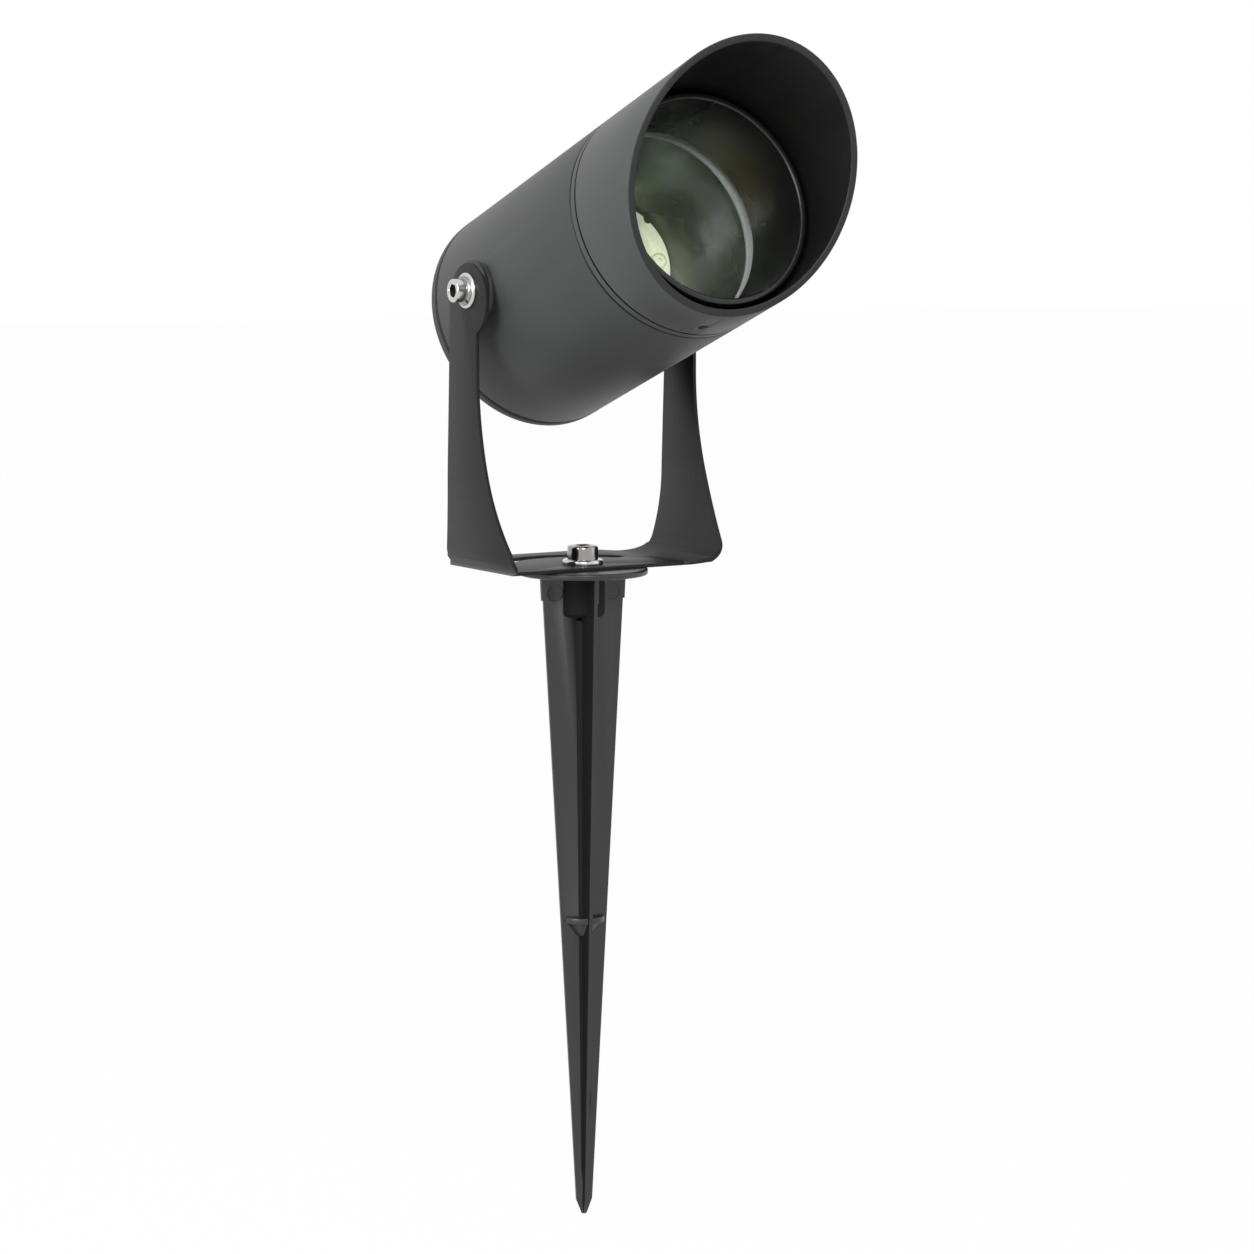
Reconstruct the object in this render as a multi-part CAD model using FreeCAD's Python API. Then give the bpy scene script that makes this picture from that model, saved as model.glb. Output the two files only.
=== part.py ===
import FreeCAD, Part
import math
import os

# Garden spike spotlight: a turned lamp head with a slanted glare hood, carried in a bent steel
# yoke that swivels on a moulded ground spike. All sizes are in millimetres.
#
# Two sets of coordinates are used.
# World: +Z is up, -Y is the front, X is the tilt axis. The origin is on the spike's axis, where the
# underside of the spike's flange meets the soil.
# Head: "s" is measured forward along the beam and "r" is the radius about the beam. Head pieces
# are made with the beam along -Y. The tilt axis crosses just below the beam at s = tilt_at, and
# about it the head is tilted and lifted to the pivot.

Vec = FreeCAD.Vector
ORIGIN = Vec(0, 0, 0)
X_AXIS = Vec(1, 0, 0)
Y_AXIS = Vec(0, 1, 0)
Z_AXIS = Vec(0, 0, 1)
FORWARD = Vec(0, -1, 0)     # along the beam, in head coordinates

# ---- pose and running fits -------------------------------------------------------------------
head_tilt = 19.6            # beam above the horizon, degrees
hood_turn = 15.8            # hood's long side, turned from straight up towards +X, degrees
slip_gap = 0.05             # radial gap of a turning or threaded fit
seat_gap = 0.4              # gap between the barrel's end and the hood's end
bolt_play = 0.25            # radial play of a bolt in a plain hole

# ---- lamp head -------------------------------------------------------------------------------
head_radius = 48.0
barrel_wall = 4.5
barrel_bore = head_radius - barrel_wall
front_bore = head_radius - 3.0      # wider bore that takes the glass and its ring
barrel_back = -32.6
barrel_front = 82.5
front_bore_start = 62.5     # shoulder under the reflector's flange
ledge_radius = barrel_bore - 2.5    # inner ledge that the heat sink seats on
ledge_start = 18.0
ledge_end = 24.0
edge_break = 0.5            # small chamfer on turned edges

pivot_height = 118.6        # tilt axis above the soil line
pivot_y = 1.8               # tilt axis behind the spike's axis
tilt_at = 3.8               # place of the tilt axis along the beam
beam_rise = 1.3             # beam above the tilt axis, in head coordinates
boss_radius = 11.0          # turned pad on each side of the barrel
boss_rise = 2.5             # the pad's face stands this far off the barrel
boss_face = head_radius + boss_rise
inner_boss_radius = 8.0     # thicker wall behind the pad, for the tilt screw's thread
inner_boss_reach = barrel_bore - 6.0
overlap = 1.0               # depth that joined solids share, and that cuts run past a face
drill_long = 20.0           # length of a drill that passes right through a wall

seal_thick = 1.0            # black joint between cap and barrel
seal_inset = 0.7
cap_back = -38.5
cap_floor = 6.0
cap_inside = cap_back + cap_floor
cap_spigot = 7.0            # length of the cap's neck inside the barrel
cap_neck_wall = 4.0
cap_rim_round = 1.6
cap_dish_depth = 0.8
cap_dish_radius = head_radius - 5.0
cap_screw_circle = barrel_bore - 6.5
cap_screw_radius = 2.0      # M4
cap_screw_head = 3.6
cap_screw_head_high = 2.4
cap_screw_key = 2.5
cap_screw_key_deep = 1.4
cap_screw_length = 14.0
cap_post_clear = 0.15       # gap between the cap's neck and the posts behind it
cap_post_radius = 4.2       # posts inside the barrel that take the cap's screws
cap_post_end = -6.0
cap_screws = 4
cap_screw_start = 45.0

# ---- cable gland in the rear cap -------------------------------------------------------------
gland_thread = 8.0          # M16 thread
gland_hex = 19.0            # across flats
gland_hex_high = 5.0
gland_thread_inside = 6.0
gland_neck_radius = 7.6
gland_neck_long = 9.0
gland_bore = 4.6
gland_washer_thick = 1.2
gland_washer_radius = 10.8
gland_nut_hex = 20.0
gland_nut_long = 15.0
gland_nut_dome = 3.0
gland_nut_gap = 0.3         # between the nut and the hexagon behind it
gland_nut_end = 3.0         # thickness of the nut's closed end
gland_mouth = 4.4
lock_nut_hex = 22.0
lock_nut_high = 4.5
bush_radius = 6.2
cable_bore = 3.4
bush_long = 11.0

# ---- driver ----------------------------------------------------------------------------------
driver_size = (60.0, 26.0, 38.0)    # across, along the beam, up
driver_front = 7.0
driver_round = 2.0
post_spread = 24.0          # cap's two posts that carry the driver
post_radius = 3.0

# ---- heat sink and light source --------------------------------------------------------------
sink_front = 30.0
fin_reach = 12.0            # fins' length behind the ledge's front face
fin_thick = 1.8
fin_pitch = 8.0
fin_count = 9
fin_limit = barrel_bore - 4.0   # fins stay inside this radius
board_radius = 20.5
board_thick = 1.5
emitter_radius = 13.0
emitter_thick = 0.7
holder_radius = 23.0
holder_bore = 15.0
holder_front = 35.0
holder_funnel = 3.0         # the bore widens by this much towards the front
holder_bottom = 1.0
holder_notch = 3.4
holder_screw_circle = 18.6
holder_screw_radius = 1.5   # M3
holder_screw_head = 2.7
holder_screw_head_high = 1.8
holder_screw_key = 2.0
holder_screw_key_deep = 1.0
holder_screw_sunk = 1.4     # seat of the screw above the board
holder_screw_grip = 3.5     # thread in the heat sink

# ---- reflector, glass and ring ---------------------------------------------------------------
ring_outer = head_radius - 5.1
ring_bore = ring_outer - 2.0
ring_front = 109.5
shoulder_gap = 0.3          # ring's shoulder behind the barrel's front face
reflector_small = 24.2
reflector_lip = 1.2         # height of the flat foot on the heat sink
reflector_foot = 4.0        # width of that foot
reflector_wall = 1.4
reflector_mouth = ring_bore
reflector_flange = front_bore - 0.3
reflector_rim = 1.5         # thickness of the flat rim under the glass seal
glass_seal_thick = 1.0
glass_seal_inset = 0.3
glass_radius = front_bore - 0.6
glass_thick = 10.0
glass_bevel = 1.2

# ---- hood ------------------------------------------------------------------------------------
hood_wall = 2.8
hood_short = 108.5          # short side of the slanted mouth, s
hood_long = 158.9           # long side of the slanted mouth, s
hood_collar_end = 101.0
hood_groove_at = 86.7
hood_groove_wide = 0.8
hood_groove_deep = 0.6
hood_lip_round = 0.5
grub_at = 95.3
grub_angle = 171.0          # from the hood's long side, degrees
grub_hole = 2.1
grub_radius = 2.0
grub_length = 4.0
grub_sunk = 1.0
grub_key = 2.0
grub_key_deep = 1.5

# ---- tilt screws -----------------------------------------------------------------------------
m6_radius = 3.0
m6_head = 4.75
m6_head_high = 5.2
m6_key = 5.0                # hexagon socket across flats
m6_key_deep = 3.0
m6_end = inner_boss_reach + 3.0     # end of the thread, distance from the middle
spring_radius = 5.3
spring_thick = 1.0
spring_split = 0.9
spring_split_turn = 35.0
washer_radius = 6.65
washer_thick = 1.0
pad_radius = 12.0           # friction washer

# ---- yoke ------------------------------------------------------------------------------------
sheet = 1.5
pad_thick = 1.2             # friction washer between arm and barrel
arm_inner = boss_face + pad_thick   # inner face of each arm from the middle, at the pivot
arm_outer = arm_inner + sheet
bend_outer = 11.0
lean_top = 39.3             # below this height above the plate the arms lean inwards
lean_radius = 240.0         # on a large radius that runs into the bend

arm_front = -4.8            # front edge of the narrow neck
front_sweep = 121.0         # radius of the arm's front edge
front_sweep_top = 81.8      # height above the plate where that sweep begins
front_round = 7.0           # round of the arm's front foot
front_round_top = 11.3      # height above the plate where that round begins
arm_rear = 20.0
rear_sweep = 106.0          # radius of the arm's rear edge
rear_sweep_top = 39.9       # height above the plate where that sweep begins
rear_sweep_low = 6.0
ear_radius = 15.0
ear_drop = 3.9              # centre of the ear's round below the tilt axis

plate_front = -13.9
flare_start = arm_inner - 10.2      # half widths at the start, middle and end of the front flare
flare_middle = arm_inner - 7.2
flare_end = arm_inner - 4.1
flare_middle_y = -18.9
flare_end_y = -30.0
plate_rear = 50.0
notch_y = 26.4              # plate's rear corner starts this far back, behind the arm
notch_half = arm_inner - 3.1        # half widths there, at the neck and at the plate's side
neck_half = arm_inner - 4.9
neck_y = 29.8
side_half = arm_inner - 6.4
side_y = 35.4
corner_half = arm_inner - 10.5      # half width at the middle of the plate's rear corner
corner_y = 43.6
rear_half = arm_inner - 16.2        # half width of the straight rear edge
slot_radius = 34.0
slot_half_width = 4.3
slot_half_angle = 54.5

# ---- swivel bolt -----------------------------------------------------------------------------
m8_radius = 4.0
m8_head = 6.5
m8_head_high = 6.4
m8_key = 5.0
m8_key_deep = 3.5
m8_length = 22.0
m8_washer_radius = 8.0
m8_washer_thick = 1.6

# ---- spike -----------------------------------------------------------------------------------
flange_radius = 27.3
flange_thick = 2.7
flange_round = 0.9
hub_radius = 9.2
hub_deep = 17.7
hub_round = 2.0
insert_radius = 5.6
insert_deep = 15.0
vane_turn = -12.8           # spike's vanes turned from the yoke's directions, degrees
vane_top = 18.1
vane_low = 3.5
vane_low_z = -269.7
vane_root_half = 1.8
vane_edge_half = 0.8
vane_low_root_half = 1.3
vane_low_edge_half = 0.7
tip_z = -276.2
tip_flat = 1.0
core_top = 4.2
core_low = 1.8
vane_sunk = 0.5             # vanes and hub run this far up into the flange
head_reach = 18.7           # wider head of each vane under the flange
head_deep = 10.6
head_half = 1.0
head_taper = 0.5
dimple_radius = 3.4
dimple_deep = 0.3
dimple_at = 12.4
dimple_z = -7.5
web_z = -145.6
web_thick = 2.4
web_radius = 8.8
web_cone = 6.0              # height of the cone under the web
web_cone_low = core_low + 2.0
web_cone_top = web_radius - 1.0

os.makedirs("parts", exist_ok=True)


def save(shape, name):
    shape.exportStep("parts/" + name + ".step")
    print(name, len(shape.Solids), round(shape.Volume / 1000.0, 2), "cm3")


def turned(profile):
    """A solid turned about the beam from (s, r) corners."""
    corners = [Vec(0, -s, r) for s, r in profile]
    face = Part.Face(Part.makePolygon(corners + corners[:1]))
    solid = face.revolve(ORIGIN, Y_AXIS, 360)
    if solid.Volume < 0:
        solid.reverse()
    return solid


def tube(s_from, s_to, outer, inner):
    return turned([(s_from, inner), (s_to, inner), (s_to, outer), (s_from, outer)])


def rod(radius, length, base, direction):
    return Part.makeCylinder(radius, length, base, direction)


def hexagon(across, length, base, direction):
    """A hexagonal bar from its width across flats."""
    corner = across / math.sqrt(3.0)
    points = []
    for k in range(7):
        angle = math.radians(60.0 * k)
        points.append(Vec(corner * math.cos(angle), corner * math.sin(angle), 0))
    bar = Part.Face(Part.makePolygon(points)).extrude(Vec(0, 0, length))
    bar.Placement = FreeCAD.Placement(base, FreeCAD.Rotation(Z_AXIS, direction))
    return bar


def around_beam(shape, angle):
    """A copy turned about the beam, from straight up towards +X."""
    copy = shape.copy()
    copy.rotate(ORIGIN, Y_AXIS, angle)
    return copy


def on_head(shape):
    """Head coordinates to world: tilt about the tilt axis, then lift to the pivot."""
    placed = shape.copy()
    placed.translate(Vec(0, tilt_at, beam_rise))
    placed.rotate(ORIGIN, X_AXIS, -head_tilt)
    placed.translate(Vec(0, pivot_y, pivot_height))
    return placed


def save_head(shape, name):
    save(on_head(shape), name)


def both_sides(shape):
    """A piece made on the +X side and its twin on the -X side."""
    twin = shape.mirror(ORIGIN, X_AXIS)
    return Part.makeCompound([shape, twin])


def on_tilt_axis(radius, x_from, x_to):
    """A rod along the tilt axis, in head coordinates."""
    return rod(radius, x_to - x_from, Vec(x_from, -tilt_at, -beam_rise), X_AXIS)


# ---- lamp head -------------------------------------------------------------------------------
def barrel():
    shell = turned([
        (barrel_back, barrel_bore),
        (barrel_back, head_radius - edge_break),
        (barrel_back + edge_break, head_radius),
        (barrel_front - edge_break, head_radius),
        (barrel_front, head_radius - edge_break),
        (barrel_front, front_bore),
        (front_bore_start, front_bore),
        (front_bore_start, barrel_bore),
        (ledge_end, barrel_bore),
        (ledge_end, ledge_radius),
        (ledge_start, ledge_radius),
        (ledge_start, barrel_bore),
    ])
    pad_start = math.sqrt(head_radius ** 2 - (boss_radius + beam_rise) ** 2) - overlap
    pad = on_tilt_axis(boss_radius, pad_start, boss_face)
    nut_boss = on_tilt_axis(inner_boss_radius, inner_boss_reach, barrel_bore + overlap)
    shell = shell.fuse([pad, nut_boss, pad.mirror(ORIGIN, X_AXIS), nut_boss.mirror(ORIGIN, X_AXIS)])
    shell = shell.fuse([cap_post(k) for k in range(cap_screws)])
    hole = on_tilt_axis(m6_radius + slip_gap, m6_end - overlap, boss_face + overlap)
    drills = [hole, hole.mirror(ORIGIN, X_AXIS)]
    for k in range(cap_screws):
        drill = rod(cap_screw_radius + slip_gap, cap_screw_length + overlap,
                    Vec(0, -barrel_back, cap_screw_circle), FORWARD)
        drills.append(around_beam(drill, cap_screw_start + 90.0 * k))
    return shell.cut(drills).removeSplitter()


def cap_post(k):
    """A screw post that stands on the inside of the barrel's wall."""
    start = barrel_back - seal_thick + cap_spigot + cap_post_clear
    length = cap_post_end - start
    post = rod(cap_post_radius, length, Vec(0, -start, cap_screw_circle), FORWARD)
    rib = Part.makeBox(2.0 * cap_post_radius, length, barrel_bore + overlap - cap_screw_circle,
                       Vec(-cap_post_radius, -cap_post_end, cap_screw_circle))
    return around_beam(post.fuse(rib), cap_screw_start + 90.0 * k)


def rear_cap():
    seat = barrel_back - seal_thick
    disc = turned([
        (cap_back + cap_dish_depth, 0),
        (cap_back + cap_dish_depth, cap_dish_radius - cap_dish_depth),
        (cap_back, cap_dish_radius),
        (cap_back, head_radius),
        (seat, head_radius),
        (seat, barrel_bore - slip_gap),
        (seat + cap_spigot, barrel_bore - slip_gap),
        (seat + cap_spigot, barrel_bore - cap_neck_wall),
        (cap_inside, barrel_bore - cap_neck_wall),
        (cap_inside, 0),
    ])
    rim = [e for e in disc.Edges if round_edge_at(e, cap_back, head_radius)]
    disc = disc.makeFillet(cap_rim_round, rim)
    posts = []
    driver_back = driver_front - driver_size[1]
    for side in (-1, 1):
        posts.append(rod(post_radius, driver_back - cap_inside,
                         Vec(side * post_spread, -cap_inside, 0), FORWARD))
    disc = disc.fuse(posts)
    outside = -cap_back + overlap
    drills = [rod(gland_thread + slip_gap, drill_long, Vec(0, outside, 0), FORWARD)]
    for k in range(cap_screws):
        drill = rod(cap_screw_radius + bolt_play, drill_long, Vec(0, outside, cap_screw_circle),
                    FORWARD)
        relief = rod(cap_post_radius + bolt_play, drill_long, Vec(0, -cap_inside, cap_screw_circle),
                     FORWARD)
        for cut in (drill, relief):
            drills.append(around_beam(cut, cap_screw_start + 90.0 * k))
    return disc.cut(drills)


def round_edge_at(edge, s, radius):
    """True for a full circle about the beam at the place asked for."""
    if not isinstance(edge.Curve, Part.Circle):
        return False
    same_radius = abs(edge.Curve.Radius - radius) < 0.01
    return same_radius and abs(edge.Curve.Center.y + s) < 0.01


def rear_cap_seal():
    return tube(barrel_back - seal_thick, barrel_back, head_radius - seal_inset, barrel_bore)


def socket_screw(radius, head, head_high, key, key_deep, length):
    """A socket screw on +Z: head above z = 0, thread below."""
    cap = Part.makeCylinder(head, head_high)
    top = [e for e in cap.Edges if abs(e.BoundBox.ZMin - head_high) < 0.01]
    cap = cap.makeChamfer(edge_break, top)
    shank = rod(radius, length + overlap, Vec(0, 0, -length), Z_AXIS)
    socket = hexagon(key, key_deep + overlap, Vec(0, 0, head_high - key_deep), Z_AXIS)
    return cap.fuse(shank).cut(socket)


def rear_cap_screws():
    head_seat = cap_back + cap_dish_depth
    screws = []
    for k in range(cap_screws):
        screw = socket_screw(cap_screw_radius, cap_screw_head, cap_screw_head_high,
                             cap_screw_key, cap_screw_key_deep, cap_screw_length)
        screw.rotate(ORIGIN, X_AXIS, -90)
        screw.translate(Vec(0, -head_seat, cap_screw_circle))
        screws.append(around_beam(screw, cap_screw_start + 90.0 * k))
    return Part.makeCompound(screws)


# ---- cable gland -----------------------------------------------------------------------------
def gland_washer():
    seat = cap_back + cap_dish_depth
    return tube(seat - gland_washer_thick, seat, gland_washer_radius, gland_thread + slip_gap)


def gland_face():
    return cap_back + cap_dish_depth - gland_washer_thick


def gland_body():
    face = gland_face()
    flats = hexagon(gland_hex, gland_hex_high, Vec(0, -face, 0), Y_AXIS)
    inside = rod(gland_thread, gland_thread_inside + gland_washer_thick + cap_floor,
                 Vec(0, -face, 0), FORWARD)
    neck_start = Vec(0, -face + gland_hex_high, 0)
    neck = rod(gland_neck_radius, gland_neck_long, neck_start, Y_AXIS)
    body = flats.fuse([inside, neck])
    bore = rod(gland_bore, 3.0 * drill_long, Vec(0, -face - 1.5 * drill_long, 0), Y_AXIS)
    pocket = rod(bush_radius + slip_gap, gland_neck_long + overlap, neck_start, Y_AXIS)
    return body.cut([bore, pocket])


def gland_nut():
    """Domed hexagon nut that squeezes the bush round the cable."""
    start = -gland_face() + gland_hex_high + gland_nut_gap
    bar = hexagon(gland_nut_hex, gland_nut_long, Vec(0, start, 0), Y_AXIS)
    end = start + gland_nut_long
    flat = gland_nut_hex / 2.0
    corner = gland_nut_hex / math.sqrt(3.0) + overlap
    dome = turned([
        (-start + overlap, 0),
        (-start + overlap, corner),
        (-(end - 1.5 * gland_nut_dome), corner),
        (-(end - gland_nut_dome), flat),
        (-(end - gland_nut_dome / 3.0), flat - gland_nut_dome / 2.0),
        (-end, gland_mouth + gland_nut_dome / 2.0),
        (-end, 0),
    ])
    nut = bar.common(dome)
    hollow = rod(gland_neck_radius + slip_gap, gland_nut_long - gland_nut_end + overlap,
                 Vec(0, start - overlap, 0), Y_AXIS)
    mouth = rod(gland_mouth, gland_nut_long + overlap, Vec(0, start, 0), Y_AXIS)
    return nut.cut([hollow, mouth])


def gland_bush():
    back = -gland_face() + gland_hex_high
    return rod(bush_radius, bush_long, Vec(0, back, 0), Y_AXIS).cut(
        rod(cable_bore, bush_long + 2.0 * overlap, Vec(0, back - overlap, 0), Y_AXIS))


def gland_lock_nut():
    nut = hexagon(lock_nut_hex, lock_nut_high, Vec(0, -cap_inside, 0), FORWARD)
    drill = rod(gland_thread + slip_gap, drill_long, Vec(0, -cap_inside + overlap, 0), FORWARD)
    return nut.cut(drill)


# ---- inside the barrel -----------------------------------------------------------------------
def driver():
    wide, deep, high = driver_size
    box = Part.makeBox(wide, deep, high, Vec(-wide / 2.0, -driver_front, -high / 2.0))
    long_edges = [e for e in box.Edges if abs(e.BoundBox.YLength - deep) < 0.01]
    return box.makeFillet(driver_round, long_edges)


def heat_sink():
    plate = tube(ledge_end, sink_front, barrel_bore - slip_gap, 0.0)
    fins = []
    for k in range(fin_count):
        offset = (k - (fin_count - 1) / 2.0) * fin_pitch
        half = math.sqrt(fin_limit ** 2 - (abs(offset) + fin_thick) ** 2)
        fins.append(Part.makeBox(fin_thick, fin_reach + overlap, 2.0 * half,
                                 Vec(offset - fin_thick / 2.0, -ledge_end - overlap, -half)))
    sink = plate.fuse(fins)
    drills = []
    for side in (-1, 1):
        drills.append(rod(holder_screw_radius + slip_gap, holder_screw_grip + slip_gap,
                          Vec(side * holder_screw_circle, -sink_front, 0), Y_AXIS))
    return sink.cut(drills)


def cob_board():
    board = tube(sink_front, sink_front + board_thick, board_radius, 0.0)
    notch = rod(holder_screw_head, board_thick + 2.0 * overlap,
                Vec(holder_screw_circle, -sink_front + overlap, 0), FORWARD)
    return board.cut([notch, notch.mirror(ORIGIN, X_AXIS)])


def cob_emitter():
    face = sink_front + board_thick
    front = face + emitter_thick
    half_way = face + emitter_thick / 2.0
    return turned([(face, 0), (face, emitter_radius), (half_way, emitter_radius),
                   (front, emitter_radius - emitter_thick), (front, 0)])


def cob_holder():
    """Moulded ring that clamps the board, funnel-shaped towards the emitter."""
    face = sink_front + board_thick
    ring = turned([
        (sink_front, board_radius + slip_gap),
        (sink_front, holder_radius),
        (holder_front - edge_break, holder_radius),
        (holder_front, holder_radius - edge_break),
        (holder_front, holder_bore + holder_funnel),
        (face + holder_bottom, holder_bore),
        (face, holder_bore),
        (face, board_radius + slip_gap),
    ])
    cuts = []
    for k in range(4):
        notch = rod(holder_notch / 2.0, drill_long, Vec(0, -sink_front + overlap, holder_radius),
                    FORWARD)
        cuts.append(around_beam(notch, 45.0 + 90.0 * k))
    for side in (-1, 1):
        across = side * holder_screw_circle
        cuts.append(rod(holder_screw_radius + bolt_play, drill_long, Vec(across, -face + overlap, 0),
                        FORWARD))
        cuts.append(rod(holder_screw_head + bolt_play, drill_long,
                        Vec(across, -face - holder_screw_sunk, 0), FORWARD))
    return ring.cut(cuts)


def cob_holder_screws():
    seat = sink_front + board_thick + holder_screw_sunk
    screw = socket_screw(holder_screw_radius, holder_screw_head, holder_screw_head_high,
                         holder_screw_key, holder_screw_key_deep,
                         board_thick + holder_screw_sunk + holder_screw_grip)
    screw.rotate(ORIGIN, X_AXIS, 90)
    screw.translate(Vec(holder_screw_circle, -seat, 0))
    return both_sides(screw)


def reflector():
    """Thin cone from round the light source out to the glass, with a flat rim."""
    rim = front_bore_start
    mouth = rim + reflector_rim
    lip = sink_front + reflector_lip
    return turned([
        (sink_front, reflector_small),
        (lip, reflector_small),
        (mouth, reflector_mouth),
        (mouth, reflector_flange),
        (rim, reflector_flange),
        (rim, reflector_mouth + reflector_lip),
        (lip, reflector_small + reflector_wall),
        (lip, reflector_small + reflector_foot),
        (sink_front, reflector_small + reflector_foot),
    ])


def glass_seal_back():
    return front_bore_start + reflector_rim


def glass_seal():
    back = glass_seal_back()
    return tube(back, back + glass_seal_thick, glass_radius, ring_bore + glass_seal_inset)


def glass_back():
    return glass_seal_back() + glass_seal_thick


def front_glass():
    back = glass_back()
    front = back + glass_thick
    return turned([
        (back, 0),
        (back, glass_radius - edge_break),
        (back + edge_break, glass_radius),
        (front - glass_bevel, glass_radius),
        (front, glass_radius - glass_bevel),
        (front, 0),
    ])


def glass_ring():
    """Tube that screws into the barrel against the glass and carries the hood."""
    back = glass_back() + glass_thick
    shoulder = barrel_front - shoulder_gap
    return turned([
        (back, ring_bore),
        (back, front_bore - slip_gap),
        (shoulder, front_bore - slip_gap),
        (shoulder, ring_outer),
        (ring_front - edge_break, ring_outer),
        (ring_front, ring_outer - edge_break),
        (ring_front, ring_bore + edge_break),
        (ring_front - edge_break, ring_bore),
    ])


# ---- hood ------------------------------------------------------------------------------------
def hood():
    """Glare hood: a collar on the ring, a wider sleeve, and a mouth cut on a slant."""
    back = barrel_front + seat_gap
    collar = ring_outer + slip_gap
    inner = head_radius - hood_wall
    reach = hood_long + edge_break
    half_groove = hood_groove_wide / 2.0
    sleeve = turned([
        (back, collar),
        (back, head_radius - edge_break),
        (back + edge_break, head_radius),
        (hood_groove_at - half_groove, head_radius),
        (hood_groove_at - half_groove, head_radius - hood_groove_deep),
        (hood_groove_at + half_groove, head_radius - hood_groove_deep),
        (hood_groove_at + half_groove, head_radius),
        (reach, head_radius),
        (reach, inner),
        (hood_collar_end + (inner - collar), inner),
        (hood_collar_end, collar),
    ])
    slope = (hood_long - hood_short) / (2.0 * head_radius)
    middle = (hood_long + hood_short) / 2.0
    big = 2.0 * head_radius
    corners = [
        Vec(-big, -(middle - slope * big), -big),
        Vec(-big, -(middle + slope * big), big),
        Vec(-big, -(middle + slope * big) - big, big),
        Vec(-big, -(middle + slope * big) - big, -big),
    ]
    knife = Part.Face(Part.makePolygon(corners + corners[:1])).extrude(Vec(2.0 * big, 0, 0))
    sleeve = sleeve.cut(knife)
    lip = [e for e in sleeve.Edges if e.BoundBox.YMin < -hood_short - overlap]
    lip = [e for e in lip if e.BoundBox.YLength > overlap and e.BoundBox.XLength > head_radius]
    sleeve = sleeve.makeFillet(hood_lip_round, lip)
    drill = rod(grub_hole, drill_long, Vec(0, -grub_at, collar - hood_wall), Z_AXIS)
    return around_beam(sleeve.cut(around_beam(drill, grub_angle)), hood_turn)


def hood_grub_screw():
    top = head_radius - grub_sunk
    screw = rod(grub_radius, grub_length, Vec(0, -grub_at, top - grub_length), Z_AXIS)
    socket = hexagon(grub_key, grub_key_deep + overlap, Vec(0, -grub_at, top - grub_key_deep), Z_AXIS)
    return around_beam(screw.cut(socket), grub_angle + hood_turn)


# ---- tilt fixings ----------------------------------------------------------------------------
def under_tilt_head():
    return arm_outer + washer_thick + spring_thick


def tilt_screws():
    screw = socket_screw(m6_radius, m6_head, m6_head_high, m6_key, m6_key_deep,
                         under_tilt_head() - m6_end)
    screw.rotate(ORIGIN, Y_AXIS, 90)
    screw.translate(Vec(under_tilt_head(), -tilt_at, -beam_rise))
    return both_sides(screw)


def tilt_ring(radius, thick, x_from):
    """A flat ring round the tilt screw."""
    hole = on_tilt_axis(m6_radius + bolt_play, x_from - overlap, x_from + thick + overlap)
    return on_tilt_axis(radius, x_from, x_from + thick).cut(hole)


def tilt_washers():
    return both_sides(tilt_ring(washer_radius, washer_thick, arm_outer))


def tilt_spring_washers():
    start = arm_outer + washer_thick
    split = Part.makeBox(spring_thick + 2.0 * overlap, spring_split, spring_radius + overlap,
                         Vec(start - overlap, -spring_split / 2.0, 0))
    split.rotate(ORIGIN, X_AXIS, spring_split_turn)
    split.translate(Vec(0, -tilt_at, -beam_rise))
    return both_sides(tilt_ring(spring_radius, spring_thick, start).cut(split))


def friction_washers():
    return both_sides(tilt_ring(pad_radius, pad_thick, boss_face))


# ---- yoke ------------------------------------------------------------------------------------
def strap_side(inset):
    """Half of the strip's section, from the top of an arm to the middle of the plate.

    Each run is an arc or a line that meets the next one smoothly: the upright arm, the slight
    lean, the bend and the plate. The inset is 0 on the outer face and one sheet on the inner.
    """
    low = flange_thick
    top = pivot_height + 2.0 * ear_radius
    lean_centre = Vec(arm_outer - lean_radius, 0, low + lean_top)
    drop = lean_top - bend_outer
    centres_apart = lean_radius - bend_outer
    lean_angle = math.asin(drop / centres_apart)
    bend_centre = lean_centre + Vec(centres_apart * math.cos(lean_angle), 0, -drop)

    def on_arc(centre, radius, angle):
        return centre + Vec(radius * math.cos(angle), 0, -radius * math.sin(angle))

    lean_arc = [on_arc(lean_centre, lean_radius - inset, share * lean_angle) for share in (0, 0.5, 1)]
    half_bend = (lean_angle + math.pi / 2.0) / 2.0
    bend_arc = [on_arc(bend_centre, bend_outer - inset, angle)
                for angle in (lean_angle, half_bend, math.pi / 2.0)]
    return [
        Part.makeLine(Vec(arm_outer - inset, 0, top), lean_arc[0]),
        Part.Arc(*lean_arc).toShape(),
        Part.Arc(*bend_arc).toShape(),
        Part.makeLine(bend_arc[2], Vec(0, 0, low + inset)),
    ]


def strap():
    """The folded strip before its edges are cut: a U with round bends, long in Y."""
    top = pivot_height + 2.0 * ear_radius
    edges = strap_side(0) + strap_side(sheet)
    edges += [edge.mirror(ORIGIN, X_AXIS) for edge in edges]
    for side in (-1, 1):
        edges.append(Part.makeLine(Vec(side * arm_outer, 0, top), Vec(side * arm_inner, 0, top)))
    section = Part.Face(Part.Wire(Part.__sortEdges__(edges)))
    section.translate(Vec(0, -arm_outer, 0))
    return section.extrude(Vec(0, 2.0 * arm_outer, 0))


def swept(start_y, radius, top, height, side):
    """Point of an edge that leaves the upright at the height "top" on a large radius."""
    drop = top - height
    away = radius - math.sqrt(radius ** 2 - drop ** 2)
    return Vec(0, start_y + side * away, flange_thick + height)


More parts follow.
